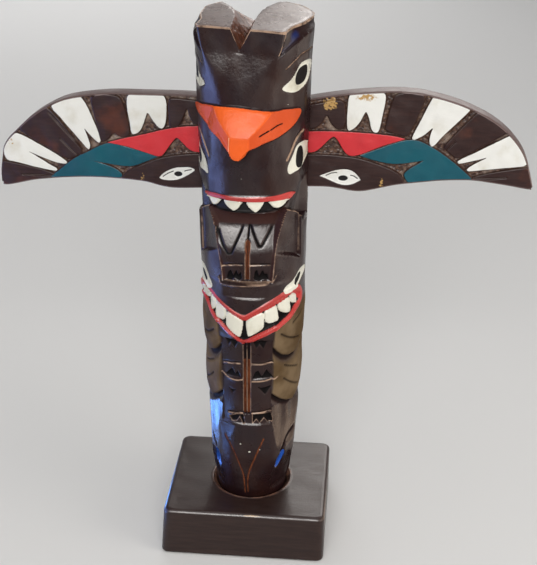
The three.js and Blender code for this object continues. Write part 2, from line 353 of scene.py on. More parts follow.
beak = {
    "centre": -3.0,
    "mmPerDegree": 0.52,
    "outline": [
        (2.4, 239), (4.6, 241), (7.2, 242), (14.5, 243), (26.7, 245), (39.8, 247.8), (50, 250.4),
        (56.5, 252.8), (61.5, 255.6), (62.6, 257.6), (59.8, 258.7), (50, 259.5), (41, 259.9), (33, 259.6),
        (26, 259.7), (7, 260.9), (-8, 261.6), (-32, 260.8), (-50, 259.6), (-68, 258.2), (-78, 256.6),
        (-74, 254.8), (-65.5, 253.9), (-57, 253.2), (-49, 251.2), (-41, 249.3), (-30.3, 246.5),
        (-23, 244.2), (-16, 242.2), (-12.6, 240), (-11.4, 238), (-9.2, 236.6), (-6.5, 235.9),
        (-2.6, 235.9), (0.4, 237),
    ],
    # (height, degrees) and (height, rise)
    "ridgeHalf": [(235, 6.6), (240, 6.9), (248.5, 7.2), (259.5, 28), (262, 31)],
    "ridgeHigh": [
        (235, 7.6), (237.4, 8.4), (239.5, 8.7), (244, 8.2), (248.4, 7.3), (249.2, 6.9), (254, 4.5),
        (259, 1.9), (261, 0.9),
    ],
    "sideFall": 0.36,
    "edgeHigh": 0.9,
    "edgeSlope": 2.1,
    "tipSlope": 7.0,
    "tipSide": (24, 12),
    "tipTop": (247, 241),
    "sideLow": 240,
    "glintTop": 260,
    "slits": [[(24, 251.2), (30.3, 252.5), (37.5, 252.9)], [(13.5, 248.9), (18, 250.1), (22, 250.9)]],
    "leftSlits": [[(-43, 251.8), (-35.4, 250.3)], [(-24.2, 248.6), (-18, 246.4), (-13.6, 244)]],
}


# Beak: a ridge that rises to the hooked tip and falls away to each side, held under a steep
# slope that climbs from the drawn outline.
def carveBeak(c):
    edge = c.inside(beak["outline"], 2)
    fromMiddle = np.abs(c.deg - beak["centre"])
    off = np.maximum(0.0, fromMiddle - along(beak["ridgeHalf"], c.z)) * beak["mmPerDegree"]
    ridge = np.maximum(along(beak["ridgeHigh"], c.z) - beak["sideFall"] * off, beak["edgeHigh"])
    atTip = ease(*beak["tipSide"], fromMiddle) * ease(*beak["tipTop"], c.z)
    steeper = (beak["tipSlope"] - beak["edgeSlope"]) * atTip
    climb = beak["edgeHigh"] + (beak["edgeSlope"] + steeper) * np.maximum(edge, 0)
    c.r = c.r + np.minimum(ridge, climb) * ease(-0.35, 0.25, edge)
    c.cover("orange", edge)
    # painted shade: the side faces below the ridge are laid in a deeper orange
    c.cover("side", off - 0.6, (edge > 0) & (c.z > beak["sideLow"]))
    # painted glint: a pale line just left of the ridge stands in for the highlight on its edge
    leftOfRidge = (edge > 0.2) & (off > 0.03) & (c.deg < beak["centre"]) & (c.z < beak["glintTop"])
    c.cover("ridgeGlint", 0.3 - np.abs(off - 0.32), leftOfRidge)
    for slit in beak["slits"]:
        c.groove(slit, 0.9, 0.8, "black")
    for slit in beak["leftSlits"]:
        c.groove(slit, 1.0, 0.6)
    # painted shadow along the beak's outline, mostly just outside it
    c.paintShade(0.6 * ease(-1.6, -0.2, edge) * ease(0.3, -0.2, edge))


secondHead = {
    "eye": [
        (46, 226.9), (46.6, 230), (50, 232.2), (54, 235.1), (58, 238.4), (62, 240), (68, 240.2),
        (76, 239.6), (86, 238), (97, 235.8), (99, 234), (92, 232.3), (84, 230.4), (77, 228.9),
        (70, 227.2), (62, 225.9), (54, 225.2), (49, 224.9),
    ],
    "pupil": [
        (58.8, 230), (59, 234), (61, 237.3), (65.3, 238.6), (70, 237.4), (74, 233.6), (74.6, 230),
        (71.2, 227.4), (64.4, 226.4), (60, 227.8),
    ],
    "leftEye": [
        (-44.6, 223.6), (-47.6, 227.6), (-51.4, 230.6), (-58.9, 233.9), (-66.9, 237), (-76, 238.4),
        (-88, 237.4), (-97, 235), (-97, 228.6), (-88, 226.2), (-73.6, 224.6), (-62, 224), (-55.5, 224),
        (-49, 223.4),
    ],
    "leftPupil": [
        (-61.4, 228.4), (-63.4, 231.6), (-68, 233.4), (-76, 233.4), (-82, 231.6), (-82, 228), (-76, 226),
        (-66.9, 225.6),
    ],
    "brow": [(44.9, 233.2), (48, 235.4), (51.9, 238), (56, 241.4), (59.8, 243.6), (65, 245.4), (70, 246)],
    "lip": [
        (-57, 212.4), (-46, 214.4), (-32, 215), (-10, 215.2), (10, 215.6), (25, 215.5), (38, 215.8),
        (48, 216), (57, 215), (60.5, 213.6), (58, 211.6), (54, 210.8), (50.5, 211.4), (46, 212.6),
        (20, 212.6), (0, 212.8), (-18, 212.3), (-38, 212.8), (-48, 212.4), (-53, 210.8),
    ],
    "mouth": [
        (-50, 212.8), (51, 213), (50, 210.2), (41, 208), (20, 207), (0, 206.8), (-25, 206.6),
        (-40, 207.2), (-49, 209),
    ],
    "teeth": [
        [(-48, 212.6), (-26, 212.8), (-29.4, 210.4), (-33.4, 208.6), (-37, 207.9), (-40, 208.6),
         (-43.4, 210.4)],
        [(-24.6, 212.8), (-1.4, 213), (-5.7, 209.8), (-8.8, 208), (-12.2, 207), (-15.4, 207.9),
         (-19, 208.9), (-22.4, 210.6)],
        [(0.4, 213), (20.8, 213), (18.4, 210.6), (15.4, 208.4), (11.4, 207.1), (8.6, 207.6), (5.6, 208.8),
         (2.4, 210.4)],
        [(23.4, 213), (49.4, 213), (47, 211), (43.4, 209.6), (38, 208.6), (34, 208.4), (30.5, 208.9),
         (27, 210.4)],
    ],
    "mouthDeep": 1.5,
    "lipHigh": 0.75,
    "toothHigh": 1.5,
    "jawDraw": 4.0,
    "jawInner": (36, 74),
    "jawOuter": (99, 82),
    "jawFall": (223.0, 201),
    # (height, degrees)
    "jawEdge": [
        (205.5, 25), (207, 34), (208.4, 41), (210.4, 47.5), (212.1, 51), (214.2, 57), (215.6, 64),
        (217, 69.5), (222, 84),
    ],
    "jawRecess": 3.0,
    "recessOuter": (100, 90),
    "recessTop": (222, 217),
    "recessShade": (11.0, 3.0),
    "chin": 206.4,
}


# Second head: eyes, brow lines, a jaw drawn in towards the neck with the trunk recessed
# behind it, and an open mouth with its lip and teeth standing proud.
def carveSecondHead(c):
    c.eye(secondHead["eye"], secondHead["pupil"])
    c.eye(secondHead["leftEye"], secondHead["leftPupil"])
    for mirror in (None, 0.0):
        c.groove(secondHead["brow"], 1.8, 0.7, mirror=mirror)
        c.cover("worn", 0.7 - c.near(secondHead["brow"], mirror=mirror))
    onHead = ease(-0.25, 0.25, c.z - along(torso["ledge"], c.side))
    jaw = ease(*secondHead["jawInner"], c.side) * ease(*secondHead["jawOuter"], c.side)
    c.r = c.r - secondHead["jawDraw"] * jaw * ease(*secondHead["jawFall"], c.z) * onHead
    behind = roundMm(c.side - along(secondHead["jawEdge"], c.z))
    recess = ease(-0.2, 0.5, behind) * ease(*secondHead["recessOuter"], c.side)
    recess = recess * ease(*secondHead["recessTop"], c.z) * onHead
    c.r = c.r - secondHead["jawRecess"] * recess
    c.paintShade(0.8 * recess * ease(*secondHead["recessShade"], behind))
    mouth = c.inside(secondHead["mouth"])
    c.r = c.r - secondHead["mouthDeep"] * ease(-0.1, 0.5, mouth)
    c.cover("black", mouth)
    lip = c.inside(secondHead["lip"], 2)
    c.r = c.r + secondHead["lipHigh"] * ease(-0.35, 0.35, lip)
    c.cover("red", lip)
    for tooth in secondHead["teeth"]:
        shape = c.inside(tooth)
        c.r = c.r + secondHead["toothHigh"] * ease(-0.3, 0.5, shape)
        c.cover("white", shape)
    # the mouth's black stays off the teeth
    black = c.paint["black"]
    offTeeth = np.minimum(black, np.where(mouth > 0, -1, -farOutside))
    c.paint["black"] = np.where(c.paint["white"] > -0.05, offTeeth, black)


torso = {
    # (height, degrees)
    "edgeRight": [(168, 29), (182, 31.3), (190, 34.5), (196, 38.9), (200, 42), (206, 48.5)],
    "edgeLeft": [(168, 25.3), (172, 25.8), (181, 28.9), (190, 33.3), (196, 36.8), (201, 41), (206, 47)],
    "centre": 7.0,
    "bendSpan": 60,
    # (height, depth of the cut)
    "depth": [
        (167, 2.2), (180, 2.2), (183, 2.5), (186, 3.7), (190, 5.4), (194, 7.2), (197, 8.7), (206, 9.0),
    ],
    "crest": 197.0,
    "flatness": [(176, 0.5), (186, 0.82), (206, 0.82)],
    # (degrees, height) of the lower edge of the head above
    "ledge": [(40, 206.2), (50, 205.6), (60, 203.6), (67, 202.2), (70, 201), (74, 197), (84, 197)],
    "ledgeWornInner": 48,
    "blockOuter": 70.0,
    "blockMiddle": 57.0,
    "blockDeep": 2.8,
    "blockLow": [(30, 183.4), (40, 182.4), (55, 180), (68, 177), (76, 175.6)],
    "foot": 166.8,
    "shoulder": 205.0,
    "veeLeft": [(-37.5, 195.5), (-27.5, 187.6), (-17.8, 180.4), (-12, 188.8), (-6, 196)],
    "veeRight": [(5.2, 196.8), (10.8, 191.2), (17, 185.2), (26, 190.8), (35, 195.6)],
    "spineTop": [(3.2, 197), (2.4, 190)],
    "spine": 2.2,
    "spineLow": 168,
    "spineHigh": 193,
    "spineHalf": [(168, 1.1), (183, 1.1), (185.5, 1.5), (188.5, 1.4), (191, -0.4)],
    "spineDeep": 1.0,
    "cuts": [[(-27, 175.4), (-14, 176.6), (-3.4, 177.1)], [(4.6, 177), (15, 177.3), (28.3, 176.8)]],
    "claws": [
        [(-23, 167.4), (-21, 171.4), (-17.4, 173.4), (-14.2, 170.2), (-11, 173.8), (-8.4, 170.8),
         (-5.4, 173), (-4, 168.6), (-8, 167.6), (-12.8, 168.8), (-16.5, 167.4)],
        [(9.2, 168.4), (10.6, 173.2), (13.4, 174.2), (15.8, 170.6), (19.6, 174), (22.4, 171.6),
         (26, 171.4), (26.8, 168), (20.5, 168.4), (16.4, 167.6)],
    ],
    "clawDeep": 1.3,
    "rim": [
        (-31, 168.6), (-29, 165.6), (-22, 164.9), (-8, 165.6), (7, 166.2), (24, 166.3), (31.5, 168),
        (33.6, 171),
    ],
    "rimHigh": 0.35,
    "rimWornTop": 170,
}


# Torso: a panel cut back between two slanting edges and flat blocks beside it, with the
# undercut neck above. The panel carries two vees, a raw wood spine, cuts and claws.
def carveTorso(c):
    z, side = c.z, c.side
    edge = np.where(c.deg > 0, along(torso["edgeRight"], z), along(torso["edgeLeft"], z))
    past = roundMm(side - edge)
    ledge = along(torso["ledge"], side)
    trunk = along(pole["trunk"], z)
    low, high = torso["foot"], torso["shoulder"]
    inPanel = ease(0.4, -0.4, past) * ease(low - 0.4, low + 0.3, z) * ease(0.0, -0.9, z - secondHead["chin"])
    bend = np.radians(np.minimum(np.abs(c.deg - torso["centre"]), torso["bendSpan"]))
    bend = bend * along(torso["flatness"], z)
    c.cutBack(inPanel, (trunk - smoothAlong(torso["depth"], z, 1.5)) / np.cos(bend))
    blockLow, blockOuter = along(torso["blockLow"], side), torso["blockOuter"]
    inBlock = ease(0.0, 0.8, past) * ease(blockOuter + 0.8, blockOuter - 0.8, side)
    inBlock = inBlock * ease(blockLow - 0.5, blockLow + 0.6, z) * ease(0.2, -0.2, z - ledge)
    c.cutBack(inBlock, (trunk - torso["blockDeep"]) / np.cos(np.radians(side - torso["blockMiddle"])))
    inNeck = (z > torso["crest"]) & (side < edge + 3)
    c.cover("rust", np.minimum(z - torso["crest"], high + 1 - z), inNeck)
    beside = (z > low) & (z < high)
    c.cover("rust", 0.5 - np.abs(past), beside)
    c.cover("worn", 0.2 - np.abs(past - 0.5), beside)
    onLedge = (side > torso["ledgeWornInner"]) & (side < blockOuter + 1)
    c.cover("worn", 0.35 - np.abs(z - ledge + 0.3), onLedge)
    c.cover("worn", 0.1 - roundMm(np.abs(side - blockOuter)), (z > blockLow) & (z < ledge))
    for vee in (torso["veeLeft"], torso["veeRight"]):
        c.groove(vee, 1.35, 1.0, "black")
    c.groove(torso["spineTop"], 1.2, 0.9, "black")
    carveTorsoSpine(c)
    for cut in torso["cuts"]:
        c.groove(cut, 1.4, 0.9)
        # painted highlight: a pale line along the lower edge of each cut
        c.cover("worn", 0.34 - c.near(cut, lift=0.6))
    for claws in torso["claws"]:
        shape = c.inside(claws, 0)
        c.r = c.r - torso["clawDeep"] * ease(-0.2, 0.8, shape)
        # painted shade in the claw notches
        c.paintShade(ease(-0.1, 0.5, shape))
        c.cover("black", shape - 0.1)
    rim = c.near(torso["rim"], 1)
    c.r = c.r + torso["rimHigh"] * ease(0.9, 0.1, rim)
    c.cover("worn", 0.2 - rim)
    c.cover("worn", 0.22 - np.abs(z - low - 0.3), (z < torso["rimWornTop"]) & (side < edge))


# Raw wood strip down the torso's middle, with a black line in it and worn edges.
def carveTorsoSpine(c):
    z = c.z
    low, high = torso["spineLow"], torso["spineHigh"]
    off = np.abs(c.u - roundMm(torso["spine"]))
    spine = np.where((z > low) & (z < high), along(torso["spineHalf"], z) - off, farOutside)
    c.r = c.r - torso["spineDeep"] * ease(-0.3, 0.5, spine)
    c.cover("raw", spine)
    c.cover("black", 0.22 - off, (z > low) & (z < high - 1))
    c.cover("worn", 0.2 - np.abs(spine + 0.25), (z > low) & (z < high - 3))


thirdHead = {
    "eye": [
        (42.6, 160.4), (44.8, 158.9), (49, 158.6), (56.7, 158.9), (62.4, 159.7), (67, 160.8), (72, 162.4),
        (78.6, 163.9), (86, 164.4), (97, 164), (97, 166), (88, 168.1), (78.2, 169.4), (70.7, 169.3),
        (65.8, 168), (62, 166.6), (55, 164.2), (49, 163.4), (45, 162.4),
    ],
    "pupil": [
        (73.4, 167.2), (73.8, 165.8), (71.6, 164.2), (66, 162), (62.7, 161.4), (60.4, 161.2), (60.4, 163),
        (61.1, 165), (64.1, 166), (68.1, 167.2),
    ],
    "leftEye": [
        (-41.6, 161.4), (-42.6, 160.2), (-46, 158.7), (-50, 158.6), (-58, 160.6), (-66, 160.6),
        (-78, 160), (-95, 161), (-95, 166), (-80, 168.4), (-67, 170.3), (-59, 170.2), (-54.8, 169),
        (-50, 166.4), (-45.4, 163.7),
    ],
    "leftPupil": [
        (-53.6, 163.6), (-54.6, 161.8), (-58.5, 161.2), (-62, 162.5), (-67, 164), (-70, 166),
        (-64.1, 167.1), (-58, 165.2),
    ],
    "noseLine": 158.6,
    "noseDeep": 0.9,
    "noseSide": (27, 16),
    "noseTop": (166, 164),
    "noseGlint": 14,
    "upperLip": [
        (-78, 157.4), (-68, 160.8), (-59.6, 161.2), (-53.9, 160.6), (-46, 159.6), (-38.7, 158.2),
        (-28.7, 155.4), (-18.6, 152.7), (-9.7, 150.4), (-4.1, 149.2), (0, 148.8), (4.1, 150), (9.5, 152),
        (20.4, 155.6), (31.9, 158.2), (41.7, 160.2), (49, 161), (55, 161.8), (62, 161.8), (70.9, 159.6),
        (76, 156.4), (77.5, 152.6), (73, 150.6), (68.6, 152.4), (66, 155.6), (59, 157.2), (49.5, 155.7),
        (38.6, 154), (32.2, 153), (20.5, 151), (9.6, 148.4), (4.1, 146.5), (0, 145), (-4.1, 145.8),
        (-9.8, 147.4), (-18.8, 149.2), (-25.3, 151.2), (-32.6, 153.4), (-39.1, 155), (-45, 156.4),
        (-52, 158), (-62, 158.6), (-74, 154.8),
    ],
    "lowerLip": [
        (-74, 151), (-64, 150.6), (-55.9, 149.4), (-51, 147.4), (-45.5, 144.8), (-35.8, 141.8),
        (-26, 138.8), (-16.2, 135.6), (-10.7, 133.4), (-6.5, 131.4), (-3, 130.2), (1, 131), (6.9, 132.3),
        (15.3, 134.7), (26.8, 137.2), (36.3, 139.1), (47, 141.4), (57.4, 143.8), (67.3, 146.6),
        (73.3, 149), (78, 152.6), (72.6, 152.6), (65, 149.6), (59, 147.6), (50.5, 145.2), (39.3, 142.7),
        (29.6, 140.7), (20.8, 138.9), (9.7, 136.3), (4.1, 134.6), (-0.2, 133.4), (-4.4, 133.2),
        (-10.2, 135.4), (-19.2, 138.6), (-27.6, 141.5), (-35.5, 144), (-42.5, 146), (-49.3, 148.6),
        (-57, 151.4), (-70, 153.6),
    ],
    "mouth": [
        (-72, 154.6), (-60, 159.4), (-50, 158.4), (-39, 156.4), (-20, 150.8), (-9.7, 148.8), (0, 147),
        (9.6, 150), (20, 153.2), (32, 155.6), (49, 158), (60, 159.4), (69, 157), (72, 153.6), (66, 149.4),
        (50, 145), (30, 140.8), (9.7, 136), (-3, 132.6), (-10, 134.8), (-27, 141), (-42, 145.6),
        (-55, 150.4),
    ],
    "teeth": [
        [(-21.8, 149.8), (-10.5, 147.6), (-1.7, 145.8), (-2.2, 141), (-5, 134.9), (-7.6, 134.9),
         (-16.9, 138), (-23, 140.7), (-22.6, 144)],
        [(-36.4, 154.6), (-26.8, 151.6), (-21.9, 149.9), (-22, 146.1), (-24.4, 144), (-27.2, 142.9),
         (-31.1, 143.2), (-35.4, 144), (-37.8, 145.8), (-37.2, 149)],
        [(-47, 156.6), (-36.6, 154.2), (-36.6, 150), (-38, 148.6), (-41, 147.6), (-43.8, 146.7),
         (-46.8, 147.6)],
        [(-71, 157.6), (-53, 158.4), (-47, 156.8), (-46.8, 153.8), (-50.4, 152.6), (-58.3, 151.8),
         (-66, 152.4)],
        [(1.1, 146), (9.6, 148.6), (20.3, 151), (21.4, 144.3), (21, 140.8), (14, 138.3), (3.8, 135.4),
         (2.5, 137.3), (1.2, 141.4)],
        [(20.9, 151.4), (26.9, 152.2), (35.9, 153.8), (37.5, 148.2), (38.8, 144.6), (33.6, 143.6),
         (27.2, 143.1), (22.6, 144.1), (20.9, 145.8)],
        [(36.6, 154), (43.6, 154.8), (53.4, 156.4), (54.8, 150.6), (56, 147.2), (51.2, 146.5),
         (45, 147.4), (40.1, 149), (37.8, 150.2)],
        [(54.2, 157), (58.1, 157.8), (64, 157.4), (65.7, 153.8), (67.2, 150), (61.2, 150.4), (56.1, 152),
         (54, 153.2)],
    ],
    "mouthDeep": 1.6,
    "lipHigh": 0.8,
    "toothHigh": 1.5,
    "proud": 1.3,
    "snoutTop": (167.0, 165.4),
    "snoutFoot": (131, 137),
    "snoutSide": (62, 8),
}


# Lower head: a snout standing proud, the line under the nose, the eyes, and a wide mouth
# whose lips and teeth rise out of it. Returns the distance inside the lips.
def carveThirdHead(c):
    z, side = c.z, c.side
    snout = ease(*thirdHead["snoutTop"], z) * ease(*thirdHead["snoutFoot"], z)
    c.r = c.r + thirdHead["proud"] * snout * ease(*thirdHead["snoutSide"], side)
    line = thirdHead["noseLine"]
    nose = ease(*thirdHead["noseSide"], side) * ease(*thirdHead["noseTop"], z)
    nose = nose * ease(line - 0.3, line + 0.3, z)
    c.r = c.r - thirdHead["noseDeep"] * nose
    # painted highlight: a thin pale line along the nose line
    c.cover("worn", 0.16 - np.abs(z - line + 0.2), side < thirdHead["noseGlint"])
    c.eye(thirdHead["eye"], thirdHead["pupil"], 0.4)
    c.eye(thirdHead["leftEye"], thirdHead["leftPupil"], 0.4)
    mouth = c.inside(thirdHead["mouth"])
    c.r = c.r - thirdHead["mouthDeep"] * ease(-0.1, 0.6, mouth)
    lips = np.maximum(c.inside(thirdHead["upperLip"]), c.inside(thirdHead["lowerLip"]))
    c.r = c.r + thirdHead["lipHigh"] * ease(-0.3, 0.4, lips)
    c.cover("red", lips + 0.2)
    teeth = np.maximum.reduce([c.inside(tooth) for tooth in thirdHead["teeth"]])
    teeth = np.minimum(teeth, -lips - 0.2)
    c.r = c.r + thirdHead["toothHigh"] * ease(-0.25, 0.45, teeth)
    c.cover("white", teeth)
    c.cover("black", np.minimum(mouth, -lips - 0.1), teeth < 0)
    return lips


belly = {
    "edge": 33.0,
    "low": 79.0,
    "top": 131.0,
    "deep": 1.1,
    "spine": 1.9,
    "grooves": [[(-0.4, 131.5), (-0.4, 86)], [(4.2, 131), (4.2, 86)]],
    "grooveFoot": 86,
    "rawTop": 121,
    # (degrees, height) of each tier's lower edge
    "tiers": [
        [(33, 128), (38, 125), (45, 122), (55, 120.2), (62, 120), (70, 121), (80, 124), (92, 129),
         (110, 136)],
        [(33, 98.5), (38, 96.3), (45, 93.6), (55, 91), (64, 90), (75, 90.6), (88, 93), (110, 99)],
    ],
    "tierCut": [8.5, 8.0],
    "tierDeep": 2.6,
    "tierSwell": 0.7,
    "tierFade": (130, 95),
    "featherTop": (152, 147),
    "featherBack": (128, 124),
    "crescents": [
        [(42, 135), (52, 131.6), (62, 129.6), (73, 128.2)], [(60, 139), (70, 140.4), (79, 143)],
        [(48, 106.6), (58, 102.6), (68, 99.6), (80, 97)], [(50, 114.2), (62, 111.5), (74, 109.5)],
    ],
    "cuts": [
        [(-30, 116.6), (-18, 117.5), (-6, 118.3)], [(7, 118.4), (20, 118.2), (33, 118.8)],
        [(-25, 84.8), (-14, 85.6), (-4, 86.6)], [(8, 86.6), (20, 87), (33, 87.6)],
    ],
    "folds": [
        [(-32, 110), (-26, 108), (-20, 107), (-12, 106.6), (-4, 107.8)],
        [(8.5, 107), (20, 106.9), (33, 107.8), (42, 110.3)],
    ],
    "foldHigh": 0.6,
    "foldHalf": 1.2,
    "notches": [
        [(-28, 109), (-21, 112.5), (-17, 114), (-13.5, 110.6), (-10, 113), (-6, 109)],
        [(8, 108.4), (12, 113), (16, 113.6), (20, 110), (26, 114.2), (30, 111.6), (35, 109)],
        [(-24, 101), (-18, 98), (-11, 101.4), (-17, 99.8)],
        [(14, 103.6), (20, 102.6), (33, 103.4), (25, 98)],
        [(-26, 132.4), (-22, 128), (-18.6, 130.4), (-14, 127), (-9, 131), (-12, 133)],
        [(9, 132), (13, 127.6), (17, 130.4), (21.4, 127.2), (26, 132), (18, 133.4)],
        [(-24, 82), (-19, 79.5), (-12, 80.5), (-8, 83.5), (-4, 79.2), (-1, 79), (-3, 85), (-12, 84.5)],
        [(9, 85.5), (9, 79.5), (14, 82.5), (18, 79.8), (24, 83), (29, 80), (36, 80.5), (33, 85.8),
         (20, 85.5)],
    ],
    "notchDeep": 1.0,
    "lowRowTop": 90,
}


# Belly panel: cut back a little, with two upright gouged lines, cuts, raised folds and small
# black notches.
def carveBelly(c):
    z = c.z
    low, top, edge = belly["low"], belly["top"], belly["edge"]
    grooveFoot = belly["grooveFoot"]
    inPanel = ease(top + 2, top, z) * ease(low - 1, low + 1, z) * ease(edge + 1, edge - 1, c.side)
    c.r = c.r - belly["deep"] * inPanel
    for line in belly["grooves"]:
        c.groove(line, 2.3, 1.3)
        off = np.abs(c.u - roundMm(line[0][0]))
        c.cover("raw", 0.9 - off, (z < belly["rawTop"]) & (z > grooveFoot))
        c.cover("worn", 0.16 - np.abs(off - 1.15), (z < top - 1) & (z > grooveFoot + 1))
    offSpine = np.abs(c.u - roundMm(belly["spine"]))
    c.cover("black", 0.3 - offSpine, (z < top) & (z > grooveFoot))
    for cut in belly["cuts"]:
        c.groove(cut, 1.4, 0.8)
        # painted highlight: a pale line along the lower edge of each cut
        c.cover("worn", 0.36 - c.near(cut, lift=0.7))
    for fold in belly["folds"]:
        near = c.near(fold, 1)
        c.r = c.r + belly["foldHigh"] * np.clip(1 - near / belly["foldHalf"], 0, 1)
        c.cover("worn", 0.45 - near)
    lowRow = z < belly["lowRowTop"]
    for notch in belly["notches"]:
        shape = c.inside(notch, 0)
        c.r = c.r - belly["notchDeep"] * ease(-0.2, 0.8, shape)
        # painted shade in the notches
        c.paintShade(ease(-0.2, 0.4, shape))
        c.cover("black", shape - np.where(lowRow, 0.6, 0.15))
        c.cover("worn", 0.16 - np.abs(shape + 0.1), lowRow)


# Feathers beside the belly: two tiers that swell towards their lower edge and drop sharply
# under it, fading out towards the back, with crescent cuts across them.
def carveFeathers(c, lips):
    z, side = c.z, c.side
    beside = ease(belly["edge"] - 0.5, belly["edge"] + 1.0, side)
    fade = ease(*belly["tierFade"], side)
    gaps = np.zeros(side.shape)
    for tier, cutHigh in zip(belly["tiers"], belly["tierCut"]):
        below = along(tier, side) - z
        drop = ease(-0.2, 0.9, below) * ease(cutHigh, cutHigh * 0.25, below)
        swell = belly["tierSwell"] * ease(0, -5, below) * ease(-26, -12, below)
        c.r = c.r + (swell - belly["tierDeep"] * drop) * beside * fade
        # painted shade under each tier's lower edge
        c.paintShade(drop * beside * fade * ease(cutHigh, 0, below))
        gaps = np.maximum(gaps, drop * ease(cutHigh, cutHigh * 0.4, below))
    lowest = along(belly["tiers"][-1], side) - z
    # painted reflection: the feather field lays an olive-tan tone over the tiers for a warm reflection
    feather = beside * ease(0.2, -0.4, lowest) * (1 - gaps) * ease(0.2, -0.2, lips)
    feather = feather * ease(*belly["featherTop"], z)
    c.feather = feather * ease(*belly["featherBack"], side + 0.35 * (z - 120))
    for crescent in belly["crescents"]:
        for mirror in (None, 0.0):
            c.groove(crescent, 2.1, 1.2, mirror=mirror)


foot = {
    "lines": [
        [(-30.4, 68.8), (-19.8, 62.1), (-11.1, 53.6), (-5, 46.4), (-2.6, 42), (-2.3, 35), (-2, 30.5)],
        [(23.6, 69), (18.1, 62.9), (10, 53.6), (3.7, 45.7), (2.4, 38.8), (2.7, 31)],
    ],
    "lensLeft": [
        (-40, 48.4), (-41.4, 52.4), (-46, 55.8), (-53, 55.6), (-58, 52), (-64, 47.6), (-62, 44.4),
        (-54, 43), (-45, 44),
    ],
    "lensRight": [
        (42.6, 48.4), (44.4, 52.6), (51, 55.8), (57.6, 57.8), (58.4, 54), (55, 48.8), (50, 45.8),
        (45.4, 45.6),
    ],
    "lensDeep": 1.1,
    "scoops": [[(52, 57), (58, 61.5), (66, 65.5), (80, 68)], [(-52, 57), (-60, 61), (-70, 66.5)]],
    # bearing, lower and upper end, radius at the lower end and lean per mm up
    "facets": [(-54, 69, 89, 23.9, -0.052), (-29, 68, 77, 24.1, -0.03), (59, 62, 89, 23.6, -0.035)],
    "facetFade": 60,
    "hollowDeep": 1.6,
    "hollowMiddle": (62, 38),
    "hollowReach": (26, 16),
    "hollowRise": (29, 33),
    # degrees, height, size
    "drips": [
        (-7, 65.6, 0.8), (5, 60.6, 0.9), (19, 62.2, 0.7), (-26, 60, 0.45), (8, 50.5, 0.35),
        (-3.5, 225, 0.45), (-18, 223.6, 0.4), (-24, 278.7, 0.55), (17, 279.8, 0.4), (25, 262.4, 0.3),
        (44, 262, 0.35),
    ],
}


# Foot: gouged lines, blue lens cuts, scoops, flat knife facets, a hollow on each side and
# small drips of white paint.
def carveFoot(c):
    z = c.z
    for line in foot["lines"]:
        c.groove(line, 1.3, 0.6, "raw")
    for lens in (foot["lensLeft"], foot["lensRight"]):
        shape = c.inside(lens)
        c.r = c.r - foot["lensDeep"] * ease(-0.5, 1.6, shape)
        # painted reflection: the lens cuts are laid blue where a blue reflection shows
        c.cover("blue", shape)
    for scoop in foot["scoops"]:
        c.groove(scoop, 3.4, 1.3)
    for bearing, low, high, radius, lean in foot["facets"]:
        plane = (radius + lean * (z - low)) / np.cos(np.radians(np.clip(c.deg - bearing, -50, 50)))
        plane = plane + foot["facetFade"] * (ease(low - 1, low - 8, z) + ease(high, high + 8, z))
        c.r = softLess(c.r, plane, 0.12)
    atDeg, atHigh = foot["hollowMiddle"]
    reachDeg, reachHigh = foot["hollowReach"]
    hollow = 1 - ((c.side - atDeg) / reachDeg) ** 2 - ((z - atHigh) / reachHigh) ** 2
    c.r = c.r - foot["hollowDeep"] * np.sqrt(np.maximum(hollow, 0)) * ease(*foot["hollowRise"], z)
    for at, high, size in foot["drips"]:
        c.cover("white", size * 0.6 - np.hypot((c.u - roundMm(at)) / 1.6, z - high))


# The whole trunk, carved from the top down, then marked all over by the knife.
def carvePole(deg, z):
    c = Carving(deg, z)
    carveBird(c)
    carveBeak(c)
    carveSecondHead(c)
    carveTorso(c)
    lips = carveThirdHead(c)
    carveBelly(c)
    carveFeathers(c, lips)
    carveFoot(c)
    marks = pole["knifeMarks"] * (1 + 1.4 * ease(*pole["roughSide"], c.side))
    marks = marks * ripple(c.u * 1.3, z * 0.7, 16, 3) + pole["grain"] * ripple(c.u, z, 3, 8)
    c.r = c.r + marks * ease(*pole["marksRise"], z)
    return c


# Rings shrinking across the top. Points that fall close to the notch's middle or edges are
# moved onto them, which keeps those lines sharp, and the notch itself is left rough.
def makeCap(edge):
    count = pole["capRings"]
    shares = 1 - (np.arange(1, count + 1) / (count + 0.5)) ** 0.9
    middle = np.array(pole["capMiddle"])
    flat = middle + shares[:, None, None] * (edge[None, :, :2] - middle)
    x, y = flat[..., 0], flat[..., 1]
    for corner in (-1, 0, 1):
        off, half = notchReach(x, y)
        gap = corner * half - off
        x = np.where(np.abs(gap) < 0.3, x + gap, x)
    off, half = notchReach(x, y)
    rough = 0.22 * ripple(x * 1.5, y * 0.5, 2.5, 5) + 0.12 * ripple(x, y, 1.0, 6)
    inNotch = ease(0.0, 0.6, half - np.abs(off))
    rounded = 0.25 * ease(0.93, 1.0, shares)[:, None] * (1 - inNotch)
    return np.stack([x, y, topHeight(x, y) + rough * inNotch - rounded], -1)


